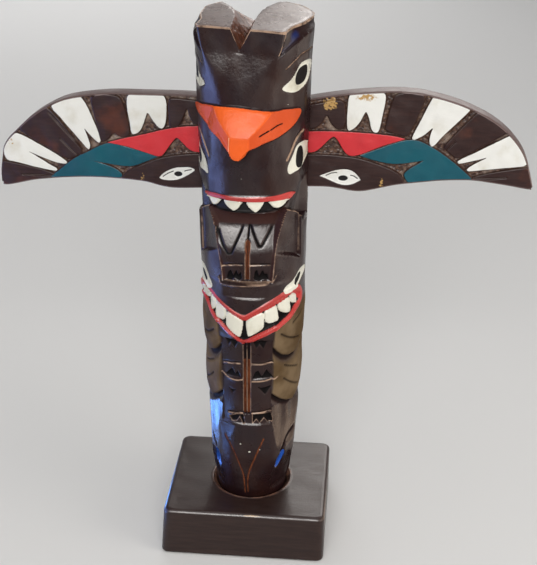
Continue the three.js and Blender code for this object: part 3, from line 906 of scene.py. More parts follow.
# Paint stored for the whole trunk, with the top's own: its flat face, the notch's walls, and
# the wear along its edges with a chip on one ear.
def poleFields(carved, rings, count):
    fields = {}
    whole = dict(carved.paint, feather=carved.feather, cavity=carved.cavity)
    for key, values in whole.items():
        outside = farOutside if key in paintKeys else 0.0
        onCap = np.full((len(rings) - count, rings.shape[1]), outside)
        fields[key] = np.concatenate([values, onCap])
    off, half = notchReach(rings[..., 0], rings[..., 1])
    wall = half - np.abs(off)
    onTop = np.zeros(rings.shape[:2])
    onTop[count:] = 1
    onTop[count - 1] = 0.5
    fields["topFace"] = onTop
    fields["notchWall"] = np.where(onTop > 0.4, wall, farOutside)
    edgeWear = np.full(rings.shape[:2], farOutside)
    edgeWear[count:] = 0.35 - np.abs(wall[count:])
    edgeWear[count - 2 : count + 1] = 0.25
    chipDeg, chipZ, chipSize = bird["earChip"]
    chip = chipSize - np.hypot(roundMm(carved.deg[-1] - chipDeg) * 0.4, rings[..., 2] - chipZ)
    chip = np.where(np.hypot(rings[..., 0], rings[..., 1]) > bird["earChipRadius"], chip, farOutside)
    fields["worn"] = np.maximum.reduce([fields["worn"], edgeWear, chip])
    return fields


# The trunk as rings by height, close together in front and wide apart at the back. Near the
# top each column is squeezed so that it ends at the top's surface.
def makePole():
    span = pole["frontSpan"]
    front = np.arange(-span, span + 0.01, pole["frontStep"])
    gap = 360 - (front[-1] - front[0])
    back = front[-1] + np.linspace(0, gap, int(gap / pole["backStep"]) + 2)[1:-1]
    columns = np.concatenate([front, back])
    columns = np.where(columns > 180, columns - 360, columns)
    heights = spacedHeights(pole["spacing"], pole["spigotLow"], pole["top"])
    deg, z = np.meshgrid(columns, heights)
    carved = carvePole(deg, z)
    x, y = carved.r * np.sin(np.radians(deg)), -carved.r * np.cos(np.radians(deg))
    low = pole["squeezeFrom"]
    squeezed = low + (z - low) * (topHeight(x, y) - low) / (pole["top"] - low)
    body = np.stack([x, y, np.where(z > low, squeezed, z)], -1)
    rings = np.concatenate([body, makeCap(body[-1])])
    fields = poleFields(carved, rings, len(heights))
    return closedSkin("carved_pole", turned(rings, pole["turn"]), fields)


wingCommon = {
    "front": 4.8,
    "thickness": 9.5,
    "relief": 1.3,
    "bevel": 0.8,
    "tilt": 3.31,
    "along": 430,
    "across": 170,
    "edgeRound": 0.9,
    "backRows": 14,
    "edgePhases": [0.25, 0.5, 0.75, 1, 1.01, 1.25, 1.5, 1.75, 2],
    "outside": -6.0,
}

# Points are (outwards from the pole's axis, height) in mm, before the wing is tilted. Chips are
# (outwards, height, half width, half height, roughness).
wingRight = {
    "sign": 1,
    "top": [
        (20.4, 254.6), (28, 255.8), (40, 257.6), (52, 258.9), (65, 259.6), (74, 259.6), (83, 258.7),
        (92, 256.6), (102, 253.6), (111, 249.8), (120, 245), (127.5, 239.3), (133, 233.4), (137.4, 227.4),
        (140.4, 220.3), (142.4, 213.4), (143.6, 208.9),
    ],
    "bottom": [
        (20.4, 208.4), (28.6, 208.4), (38.6, 208.4), (46, 207.1), (51, 206), (56.4, 205.7), (61.4, 206.6),
        (67.7, 208.1), (75, 209.7), (87.7, 211), (95.9, 211.9), (105, 212.2), (114.1, 212.1),
        (123.2, 210.6), (132.3, 209.1), (140.5, 207.4), (142.9, 207.2),
    ],
    "white": [
        [(47.7, 255.3), (48.3, 257.8), (49.8, 258.8), (57, 259), (65, 259.1), (66.5, 257.6), (66.4, 254),
         (65.4, 247.5), (64.5, 241.5), (63.7, 238.5), (62.4, 237.9), (61, 238.4), (59.8, 240.4),
         (59, 244.4), (57.6, 248.3), (56.7, 249.2), (55.5, 246.7), (54, 243.4), (51.6, 240.6),
         (49.2, 239), (47.8, 239.6), (47.4, 244.5), (47.5, 250)],
        [(89.5, 255.4), (90.9, 256.9), (93.4, 256.9), (100.6, 254.3), (108, 251.9), (109.2, 250.9),
         (108.4, 248.8), (102.3, 242.4), (95.5, 235.2), (92.7, 231.4), (91.3, 230.4), (90.2, 231.4),
         (89.7, 233.6), (90.1, 237.2), (91.3, 240.8), (89.4, 239), (86.8, 236.5), (82.6, 234.2),
         (81.2, 234.3), (80.8, 235.4), (84.4, 243.5)],
        [(132.8, 236.4), (135.5, 232.6), (139, 226.3), (140, 222.6), (139.5, 221), (137.7, 219.8),
         (124, 218.6), (111.2, 217.2), (109.9, 217.4), (109.8, 218.6), (113.6, 221.3), (120.6, 225.1),
         (113.9, 223.1), (106, 221.3), (104.9, 221.7), (104.9, 223), (112.3, 226.7), (120.5, 231.2),
         (128.6, 235.6), (131.2, 236.8)],
    ],
    "dark": [
        [(24, 252), (36, 253.9), (42.6, 255.2), (45.4, 254), (46, 251.4), (46.8, 244.4), (45.4, 240.4),
         (42.6, 239.6), (39.4, 243), (37, 248.4), (34.4, 243), (31, 240.4), (24, 240)],
        [(70.4, 255.8), (72, 258), (77, 258.6), (83.6, 258.2), (86.2, 256.3), (84.6, 250.4),
         (80.6, 240.2), (78.2, 235.6), (74, 236.8), (67.4, 239), (67.2, 241), (68.6, 248)],
        [(112.6, 248), (114.4, 249), (121.2, 246.1), (125.7, 242.9), (128.4, 239.2), (128.2, 237.6),
         (120, 232.6), (110, 226.8), (104.2, 223.8), (100.4, 227.2), (97, 229.8), (101.4, 235.4),
         (107, 242)],
        [(138.2, 218.8), (140.3, 218.9), (141.8, 213.6), (143.2, 208.9), (142.2, 207.6), (140.2, 207.9),
         (132.3, 209.6), (123.4, 211.1), (113, 212.9), (113.6, 214.2), (124, 216.6)],
    ],
    "slits": [
        [(110.6, 248.6), (102.4, 240.4), (95.8, 232.8)], [(129.8, 213.8), (122.8, 213.2), (114, 213.6)],
        [(102.6, 233), (98.6, 228.6)],
    ],
    "red": [
        (24, 238.4), (34, 238.9), (46.8, 238.5), (61.4, 237.4), (72, 236.1), (77.7, 234.5), (77.7, 234.5),
        (70.5, 232.3), (64, 230.1), (56.8, 226.9), (53, 225.6), (50, 225.4), (48, 226.4), (45.9, 229),
        (43.4, 233.6), (41.4, 236), (40.4, 235.9), (38.4, 234.2), (35.7, 231.3), (33, 228.7),
        (30.5, 227.4), (24, 227.2),
    ],
    "teal": [
        (54.7, 225.5), (54.7, 225.5), (61.4, 228.2), (70.5, 231.7), (76.6, 233.7), (80.6, 234.1),
        (84.6, 233.6), (88.8, 231.6), (94.4, 228.3), (102.5, 222.3), (108.6, 217), (112.9, 212.9),
        (112, 212), (105, 212.4), (96, 212.1), (88.6, 211.1), (81.6, 210.6), (80, 211.2), (78.5, 213.5),
        (77.8, 215.3), (79.5, 217.6), (83.2, 220.2), (88, 223.1), (88, 223.1), (83, 222.2), (76, 221.2),
        (70.4, 221.2), (63.2, 222.8), (58.6, 224.3),
    ],
    "head": [
        (24, 226), (30, 226), (38.6, 225.9), (47.7, 224.9), (55, 223.8), (63.2, 221.1), (70.5, 218.3),
        (75.6, 215.4), (77.6, 212.6), (78.2, 210), (75, 209.7), (67.7, 208), (61.4, 206.6), (56.4, 205.6),
        (51, 206), (46, 207), (38.6, 208.4), (24, 208.4),
    ],
    "eye": [
        (34.2, 214.5), (34.2, 214.5), (37.5, 215.9), (41.4, 217.4), (46, 218.3), (49.6, 218),
        (52.3, 216.6), (54.4, 214.4), (55.8, 212.3), (55.8, 212.3), (54, 211.2), (51.4, 210),
        (48.4, 209.4), (45, 209.9), (41, 211.6), (37.6, 213.3),
    ],
    "pupil": (46.5, 213.2, 2.5, 1.55),
    "lashes": [[(37.6, 214.7), (40.4, 216), (43.2, 216.2)], [(50.4, 214.8), (52.4, 214.2), (54, 213)]],
    "chips": [
        (38.5, 253.5, 3.4, 3.2, 0.5), (57, 256.6, 4.6, 1.7, 0.2), (66.5, 210.8, 0.7, 1.5, 0.4),
        (90.6, 258, 3, 1.4, 0.3),
    ],
}

wingLeft = {
    "sign": -1,
    "top": [
        (20.4, 257.2), (33.8, 258.3), (49.3, 259), (61, 259.3), (74.7, 259.8), (82.9, 259.4), (92, 258.6),
        (101.1, 257.1), (108.4, 254.2), (115.6, 250.3), (122.9, 245.3), (128.4, 240.2), (133.6, 235.6),
        (136.8, 230.8), (137.6, 226), (138.8, 220.2), (139.4, 215), (139.2, 211.2),
    ],
    "bottom": [
        (20.4, 207.4), (30.2, 207.3), (39.3, 207.1), (45.6, 207.3), (52, 208.6), (57.5, 210.5),
        (65.6, 211.7), (74.7, 212.5), (83.8, 213.2), (95.6, 213.3), (106.5, 212.8), (112, 212.4),
        (119.3, 211.8), (124.7, 210.8), (132, 209.2), (136.6, 208.6), (138.4, 208.9),
    ],
    "white": [
        [(67.5, 256.2), (66.8, 258.4), (65, 259.3), (58, 259.3), (50.4, 259.2), (47.6, 258), (46.4, 255),
         (46.5, 249.8), (47, 244.2), (48.2, 241), (49.6, 240.4), (51.2, 241.2), (54.2, 245.2),
         (56.6, 249.7), (57.8, 246.6), (59.4, 242), (61.4, 238.6), (64.2, 237.3), (65.8, 237.9),
         (66.4, 244.4), (67.5, 251.5)],
        [(108.2, 254.6), (106.6, 256.2), (101, 257.3), (93.2, 258.3), (92, 257.6), (89.3, 253.8),
         (86.4, 246.2), (84.2, 240.5), (82.6, 234.3), (82.9, 233), (84, 232.7), (86.5, 235.2),
         (89.3, 238.4), (91.4, 241.1), (90.4, 238.4), (89.6, 236), (88.4, 231.4), (88.8, 229.4),
         (89.9, 228.9), (93.9, 234.3), (99.8, 241.5), (104.8, 248), (108.2, 251.6)],
        [(129.9, 237.9), (133.8, 234.9), (135.4, 232.4), (136.6, 229.6), (136.4, 225), (134.8, 222.8),
         (131, 222.3), (124.7, 220.5), (115.6, 218.2), (108.7, 216.8), (107.5, 217.2), (107.6, 218.4),
         (111.2, 220.2), (117.6, 224.6), (124.3, 228.7), (115.6, 224.7), (108.4, 221.8), (102.9, 220.8),
         (101.9, 221.3), (102.2, 222.6), (108.4, 227), (115.6, 231.3), (122, 235.2), (128, 238.2)],
    ],
    "dark": [
        [(24, 254.6), (31.8, 255.2), (43.6, 256.8), (45.2, 255.4), (45.3, 248), (45, 241.4),
         (42.6, 240.6), (39.6, 242.8), (37.6, 247), (35.4, 252.6), (34, 246), (31.6, 242.4), (24, 242)],
        [(86.4, 257.2), (84, 258.5), (78, 258.7), (73.2, 258.2), (70.4, 256), (68.2, 248), (66.6, 238),
         (68, 236.2), (72, 235.8), (75.6, 238.6), (79, 234), (82.4, 233.2), (83, 238), (86.6, 253)],
        [(110, 251.6), (113, 252.2), (118.4, 250), (123.6, 245.6), (126.4, 241.6), (125.9, 239.6),
         (122, 236.4), (112, 230.4), (101.4, 223.4), (97.6, 225), (92.6, 227.2), (96.4, 233.6),
         (103, 243)],
        [(135.6, 222), (137.4, 222.4), (138.4, 216), (138.6, 210.6), (137.6, 209.2), (132, 209.6),
         (124.7, 211.1), (113.4, 212.8), (108.6, 214), (112, 216.4), (124, 219.6)],
    ],
    "slits": [
        [(109.8, 249.4), (101, 238.6), (93, 229.6)], [(127, 214.9), (118, 214.5), (110, 213.9)],
        [(104.4, 234.8), (99.6, 229.6), (95.6, 225.6)],
    ],
    "red": [
        (24, 241.9), (30.2, 241.7), (38.4, 241.5), (49.3, 239.7), (61, 236.8), (70, 235.2), (79, 232.9),
        (79, 232.9), (72, 231.6), (65, 229.6), (58.6, 227.4), (53.2, 225.5), (51, 225.1), (49.4, 225.6),
        (47.4, 228.2), (44.4, 232.4), (42, 235.4), (40.8, 235.3), (38.4, 232.6), (35.4, 229.4), (33, 228),
        (30.4, 227.4), (24, 227.2),
    ],
    "teal": [
        (51.9, 224.9), (51.9, 224.9), (56.5, 226.4), (61.5, 228.2), (70.2, 230.7), (75, 232.1),
        (79.3, 232.6), (84.7, 230.5), (90.2, 227.5), (95.6, 225.3), (101.2, 221.5), (107.6, 216.4),
        (112.4, 212.7), (106.5, 212.8), (95.6, 213.3), (83.8, 213.2), (73.4, 212.9), (71.4, 214.2),
        (72.6, 216.4), (76.5, 218.9), (82, 221), (88.8, 222.8), (88.8, 222.8), (81.1, 221.4),
        (73.8, 220.1), (68.6, 219.5), (64.2, 219.9), (57, 222.8),
    ],
    "head": [
        (24, 226.3), (32, 226.2), (38, 226), (44.7, 225.2), (52, 223.7), (61, 220.2), (65.6, 218.2),
        (70, 215.2), (72.4, 212.4), (65.6, 211.7), (57.5, 210.5), (52, 208.6), (45.6, 207.3),
        (39.3, 207.1), (24, 207.2),
    ],
    "eye": [
        (51.4, 213.2), (51.4, 213.2), (49.8, 215.2), (47, 217.1), (42.8, 218.8), (38.6, 219.1),
        (35, 219.2), (32.6, 218.3), (32, 217.4), (33.2, 216.4), (36.4, 214.4), (40.4, 212.4),
        (45.4, 211.7), (49.8, 212.2),
    ],
    "pupil": (41.1, 215.2, 2.25, 1.45),
    "lashes": [
        [(49.4, 213.8), (46.6, 215.6), (43.8, 216.8)], [(37.6, 216.8), (35.8, 217.3), (34, 217.6)],
    ],
    "chips": [(132.2, 233.6, 1.2, 1.2, 0.4), (60.6, 213.4, 0.6, 1.3, 0.3), (110.6, 253.4, 1.6, 1.2, 0.4)],
}


# Signed distances to every drawn shape on a wing's front, in its own level coordinates.
def wingShapes(wing, x, z):
    def anyOf(distances):
        return np.maximum.reduce([np.full(x.shape, wingCommon["outside"]), *distances])

    def drawn(points):
        return shapeDistance(x, z, softened(points, 1))

    out = {key: anyOf([drawn(points) for points in wing[key]]) for key in ("white", "dark")}
    for key in ("red", "teal", "head", "eye"):
        out[key] = drawn(wing[key])
    px, pz, halfWide, halfHigh = wing["pupil"]
    pupil = (1 - np.hypot((x - px) / halfWide, (z - pz) / halfHigh)) * halfHigh
    lashes = [0.28 - lineDistance(x, z, points) for points in wing["lashes"]]
    out["pupil"] = np.maximum.reduce([pupil, *lashes])
    out["slit"] = anyOf([0.45 - lineDistance(x, z, points) for points in wing["slits"]])
    chips = []
    for cx, cz, halfWide, halfHigh, rough in wing["chips"]:
        reach = np.hypot((x - cx) / halfWide, (z - cz) / halfHigh)
        chips.append((1 - reach) * min(halfWide, halfHigh) + rough * ripple(x, z, 1.6, 12))
    out["chip"] = anyOf(chips)
    return out


# How far the carved front lies behind its highest level: the ground between the drawn shapes
# is cut back by the relief and left rough, and the slits, pupil and eye are sunk a little.
def frontDepth(shapes, raised, x, z):
    ground = 1 - ease(-wingCommon["bevel"], 0.1, raised)
    depth = wingCommon["relief"] * ground
    depth = depth + ground * (0.08 * ripple(x, z, 2.4, 21) + 0.05 * ripple(x, z, 1.1, 22))
    depth = depth + 0.7 * ease(-0.3, 0.4, shapes["slit"]) + 0.3 * ease(-0.2, 0.2, shapes["pupil"])
    depth = depth + 0.35 * ease(-0.25, 0.25, shapes["eye"])
    return depth - 0.10 * ease(0, 5, raised) + 0.05 * ripple(x, z, 7, 23)


# Stations at even shares of the length of a drawn edge.
def edgeStations(points, share):
    pts = softened(points, 2, closed=False)
    steps = np.concatenate([[0], np.cumsum(np.hypot(*np.diff(pts, axis=0).T))])
    return np.stack([np.interp(share * steps[-1], steps, pts[:, k]) for k in (0, 1)], -1)


# The rounded edge of a board as two quarter circles, front (phase 0 to 1) and back (1 to 2).
def roundedEdge(corner, inwards, rounding, phases):
    front, back = wingCommon["front"], wingCommon["front"] + wingCommon["thickness"]
    parts = []
    for phase in phases:
        near = phase <= 1
        swing = (phase if near else phase - 1) * math.pi / 2
        fromEdge, fromFace = 1 - math.sin(swing), 1 - math.cos(swing)
        if near:
            y = front + rounding[:, 0] * fromFace
        else:
            fromEdge, fromFace = fromFace, fromEdge
            y = back - rounding[:, 0] * fromFace
        flat = corner + inwards * (rounding * fromEdge)
        parts.append(np.stack([flat[:, 0], y, flat[:, 1]], -1))
    return np.stack(parts, 1)


# A wing board. Straight lines join matching stations along its lower and upper edge; each
# line becomes one closed loop: over the carved front, round the top edge, down the back and
# round the bottom edge. The front stands proud by the relief inside each drawn shape.
def makeWing(name, wing):
    share = np.linspace(0, 1, wingCommon["along"])
    top, bottom = edgeStations(wing["top"], share), edgeStations(wing["bottom"], share)
    length = np.hypot(*(top - bottom).T)[:, None]
    rounding = np.minimum(wingCommon["edgeRound"], length * 0.3)
    inset = rounding / length

    def between(shares):
        v = inset + shares[None, :] * (1 - 2 * inset)
        flat = bottom[:, None] + v[..., None] * (top - bottom)[:, None]
        return v, flat[..., 0], flat[..., 1]

    v, x, z = between(np.linspace(0, 1, wingCommon["across"]))
    shapes = wingShapes(wing, x, z)
    raised = np.maximum.reduce([shapes[key] for key in ("white", "dark", "red", "teal", "head")])
    depth = frontDepth(shapes, raised, x, z) * ease(0, 0.02, v) * ease(1, 0.98, v)
    front = np.stack([x, wingCommon["front"] + depth, z], -1)
    down = (bottom - top) / length
    phases = wingCommon["edgePhases"]
    over = roundedEdge(top, down, rounding, phases)
    under = roundedEdge(bottom, -down, rounding, phases[::-1])
    _, backX, backZ = between(np.linspace(1, 0, wingCommon["backRows"])[1:-1])
    backY = np.full(backX.shape, wingCommon["front"] + wingCommon["thickness"])
    rings = np.concatenate([front, over, np.stack([backX, backY, backZ], -1), under], 1)
    offFront = np.full((len(share), rings.shape[1] - x.shape[1]), wingCommon["outside"])
    fields = {key: np.concatenate([values, offFront], 1) for key, values in shapes.items()}
    fields["raised"] = np.concatenate([raised, offFront], 1)
    fields["front"] = np.zeros(rings.shape[:2])
    fields["front"][:, 1 : x.shape[1] - 1] = 1
    tilt = math.radians(wingCommon["tilt"])
    out = rings[..., 0] * wing["sign"]
    placed = np.stack([out * math.cos(tilt), rings[..., 1], rings[..., 2] + out * math.sin(tilt)], -1)
    return closedSkin(name, turned(placed, pole["turn"]), fields)


# The block. A lip of worn wood is raised round the socket, and the sides splay out downwards
# on the left and at the front.
base = {
    "middle": -1.0,
    "halfWide": 45.5,
    "halfDeep": 39.25,
    "height": 28.5,
    "around": 360,
    "corner": 4.2,
    "smallestCorner": 0.6,
    "edge": 2.4,
    "underEdge": 1.0,
    "socketRadius": 20.35,
    "socketFloor": 14.05,
    "floorRadius": 8.0,
    "rimRadius": 22.4,
    "rimDrop": 1.9,
    "lipRadius": 22.9,
    "lipWide": 0.5,
    "lipHigh": 0.4,
    "splayLeft": 1.8,
    "splayFront": 1.2,
}


# Rounded rectangle inside the base's outline: a ray at each angle meets the plain rectangle,
# and points in its corners are drawn in to the corner's radius.
def blockRing(angle, inset):
    corner = max(base["corner"] - inset * 0.5, base["smallestCorner"])
    c, s = np.cos(angle), np.sin(angle)
    hx, hy = base["halfWide"] - inset, base["halfDeep"] - inset
    reach = 1 / np.maximum(np.abs(c) / hx, np.abs(s) / hy)
    px, py = reach * c, reach * s
    over = np.stack([np.abs(px) - (hx - corner), np.abs(py) - (hy - corner)], -1)
    inCorner = (over > 0).all(-1)
    size = np.hypot(over[:, 0], over[:, 1])
    scale = np.where(inCorner & (size > corner), corner / np.maximum(size, 1e-6), 1.0)
    px = np.where(inCorner, np.sign(px) * (hx - corner + over[:, 0] * scale), px)
    py = np.where(inCorner, np.sign(py) * (hy - corner + over[:, 1] * scale), py)
    return np.stack([px + base["middle"], py], -1)


# The base as one run of rings: out across the underside, up the sides, in over the top and
# down into the socket. Each ring also has its part of the block: 0 for the underside and
# sides, up to 1 over the top edge, 1 for the top and 2 in the socket.
def blockRings(angle):
    rings, parts = [], []

    def put(flat, z, part):
        rings.append(np.concatenate([flat, np.full((len(angle), 1), z)], -1))
        parts.append(np.full(len(angle), part))

    def circle(radius):
        return np.stack([radius * np.cos(angle), radius * np.sin(angle)], -1)

    top, edge, under = base["height"], base["edge"], base["underEdge"]
    for share in (0.25, 0.5, 0.75):
        put(blockRing(angle, under) * share + (1 - share) * np.array([base["middle"], 0]), 0, 0)
    for t in np.linspace(0, 1, 5):
        swing = t * math.pi / 2
        put(blockRing(angle, under * (1 - math.sin(swing))), under * (1 - math.cos(swing)), 0)
    for z in np.linspace(1.6, top - edge - 0.4, 30):
        put(blockRing(angle, 0), z, 0)
    for t in np.linspace(0, 1, 9):
        swing = t * math.pi / 2
        put(blockRing(angle, edge * (1 - math.cos(swing))), top - edge * (1 - math.sin(swing)), t)
    inner, rim, socket = blockRing(angle, edge), base["rimRadius"], base["socketRadius"]
    for t in np.linspace(0, 1, 60)[1:]:
        put(inner + (circle(rim) - inner) * t, top, 1)
    for t in np.linspace(0, 1, 6)[1:]:
        put(circle(rim + (socket - rim) * t), top - base["rimDrop"] * t ** 1.5, 2)
    for z in (top - 5, base["socketFloor"] + 0.2):
        put(circle(socket), z, 2)
    for radius in (socket - 0.3, base["floorRadius"]):
        put(circle(radius), base["socketFloor"], 2)
    return np.stack(rings), np.stack(parts)


# The rings made uneven as worn wood is, with the lip raised round the socket.
def makeBase():
    angle = np.linspace(0, 2 * math.pi, base["around"], endpoint=False) + math.pi / base["around"]
    rings, part = blockRings(angle)
    height, middle, halfDeep = base["height"], base["middle"], base["halfDeep"]
    x, y, z = rings[..., 0], rings[..., 1], rings[..., 2]
    onTop = ease(0.7, 1.0, part) * ease(1.4, 1.0, part)
    wave = 0.05 * ripple(x, y * 2, 30, 31)
    rings[..., 2] = z + onTop * wave * ease(0, 6, 45 - np.abs(x)) * ease(0, 6, 39 - np.abs(y))
    onSide = (part < 0.5) & (z > 2) & (z < height - 2) & (np.abs(y) > halfDeep - 0.5)
    rings[..., 1] = y + np.where(onSide, np.sign(y) * (-0.15 + 0.08 * ripple(x, z * 2, 18, 33)), 0)
    down = np.where(part < 1.5, np.clip(1 - rings[..., 2] / height, 0, 1), 0)
    rings[..., 0] = x - base["splayLeft"] * down * ease(middle, middle - base["halfWide"], x)
    rings[..., 1] = rings[..., 1] - base["splayFront"] * down * ease(0, -halfDeep, y)
    offLip = (np.hypot(x, y) - base["lipRadius"]) / base["lipWide"]
    lip = np.exp(-offLip ** 2) * (part > 0.9)
    rings[..., 2] = rings[..., 2] + base["lipHigh"] * lip
    frontMiddle = np.exp(-((x - 3) / 9) ** 2) * (y < 0)
    edgeWear = np.exp(-((part - 0.45) / 0.3) ** 2) * (part > 0.01) * (0.85 + 0.4 * frontMiddle)
    fields = {"topSide": onTop, "edgeWear": edgeWear, "rim": np.maximum(ease(1.2, 2.0, part), lip)}
    return closedSkin("carved_base", rings, fields)


print("shaping pieces")
basePiece = makeBase()
polePiece = makePole()
rightPiece = makeWing("carved_wing_right", wingRight)
leftPiece = makeWing("carved_wing_left", wingLeft)
pieces = {"base": basePiece, "pole": polePiece, "wing_right": rightPiece, "wing_left": leftPiece}
for node, piece in pieces.items():
    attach(piece, "root")
    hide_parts(node)


# A colour given as screen values out of 255, turned into linear light.
def colour(red, green, blue):
    out = []
    for value in (red, green, blue):
        s = value / 255
        out.append(s / 12.92 if s <= 0.04045 else ((s + 0.055) / 1.055) ** 2.4)
    return (*out, 1.0)


# A material and the nodes that feed its shader. Its base colour is built up in layers.
class Nodes:
    def __init__(self, name):
        self.material = bpy.data.materials.new(name)
        self.material.use_nodes = True
        self.tree = self.material.node_tree
        self.tree.nodes.clear()
        self.shader = self.add("ShaderNodeBsdfPrincipled")
        output = self.add("ShaderNodeOutputMaterial")
        self.link(self.shader.outputs[0], output.inputs[0])
        self.place = self.add("ShaderNodeTexCoord").outputs["Object"]
        self.base = None

    def add(self, kind, **settings):
        node = self.tree.nodes.new(kind)
        for key, value in settings.items():
            setattr(node, key, value)
        return node

    # joins a socket to another, or gives it a value
    def link(self, source, target):
        if hasattr(source, "is_linked"):
            self.tree.links.new(source, target)
        else:
            target.default_value = source

    def put(self, key, value):
        self.link(value, self.shader.inputs[key])

    def field(self, name):
        return self.add("ShaderNodeAttribute", attribute_name=name).outputs["Fac"]

    def math(self, kind, a, b):
        node = self.add("ShaderNodeMath", operation=kind)
        self.link(a, node.inputs[0])
        self.link(b, node.inputs[1])
        return node.outputs[0]

    def times(self, a, b):
        return self.math("MULTIPLY", a, b)

    # eased step from 0 below low to 1 above high
    def step(self, value, low, high):
        node = self.add("ShaderNodeMapRange", interpolation_type="SMOOTHSTEP")
        for item, key in ((value, "Value"), (low, "From Min"), (high, "From Max")):
            self.link(item, node.inputs[key])
        return node.outputs[0]

    # the piece's own coordinates, stretched to draw the grain out
    def stretch(self, x, y, z):
        node = self.add("ShaderNodeVectorMath", operation="MULTIPLY")
        self.link(self.place, node.inputs[0])
        node.inputs[1].default_value = (x, y, z)
        return node.outputs[0]

    def noise(self, scale, detail=3.0, place=None, roughness=0.55):
        node = self.add("ShaderNodeTexNoise")
        self.link(place or self.place, node.inputs["Vector"])
        for key, value in (("Scale", scale), ("Detail", detail), ("Roughness", roughness)):
            self.link(value, node.inputs[key])
        return node.outputs["Fac"]

    # noise stepped into patches
    def patches(self, scale, detail, low, high, place=None):
        return self.step(self.noise(scale, detail, place), low, high)

    # fine noise about 0 that makes the masks' edges ragged
    def fray(self, amount):
        self.wobble = self.times(self.math("SUBTRACT", self.noise(700, 2), 0.5), amount)

    # stored distance to a drawn edge, made ragged and stepped into a mask
    def mask(self, key, width=0.12):
        return self.step(self.math("ADD", self.field(key), self.wobble), -width, width)

    def mix(self, factor, a, b):
        node = self.add("ShaderNodeMix", data_type="RGBA")
        self.link(factor, node.inputs["Factor"])
        self.link(a, node.inputs[6])
        self.link(b, node.inputs[7])
        return node.outputs[2]

    def blend(self, factor, a, b):
        node = self.add("ShaderNodeMix", data_type="FLOAT")
        self.link(factor, node.inputs["Factor"])
        self.link(a, node.inputs[2])
        self.link(b, node.inputs[3])
        return node.outputs[0]

    # lays a colour over the base colour so far, where the mask says
    def lay(self, mask, tint):
        self.base = self.mix(mask, self.base, tint)

    def bump(self, height, strength, distance, normal=None):
        node = self.add("ShaderNodeBump")
        self.link(height, node.inputs["Height"])
        self.link(strength, node.inputs["Strength"])
        self.link(distance, node.inputs["Distance"])
        if normal:
            self.link(normal, node.inputs["Normal"])
        return node.outputs[0]


poleLook = {
    "dark": colour(31, 15, 18),
    "darkWarm": colour(43, 23, 19),
    "shadedSideOrange": colour(200, 78, 40),
    "ridgeGlintPale": colour(250, 196, 160),
    "hollowReflection": colour(24, 36, 84),
    "orange": colour(242, 104, 44),
    "orangeDeep": colour(212, 84, 36),
    "red": colour(188, 58, 54),
    "redDeep": colour(150, 48, 44),
    "white": colour(223, 221, 207),
    "whiteSoiled": colour(190, 182, 160),
    "black": colour(12, 8, 9),
    "blue": colour(32, 78, 165),
    "raw": colour(118, 66, 40),
    "rawDark": colour(76, 38, 22),
    "rust": colour(64, 33, 26),
    "worn": colour(176, 146, 124),
    "feather": colour(90, 71, 46),
    "featherSheenPale": colour(126, 106, 80),
    "topFace": colour(112, 95, 90),
    "topFaceDark": colour(88, 73, 70),
    "roughness": 0.26,
    "shine": 0.31,
    "thinShine": 0.17,
    "orangeShine": 0.08,
    "dullRoughness": 0.75,
    "dullShine": 0.06,
}


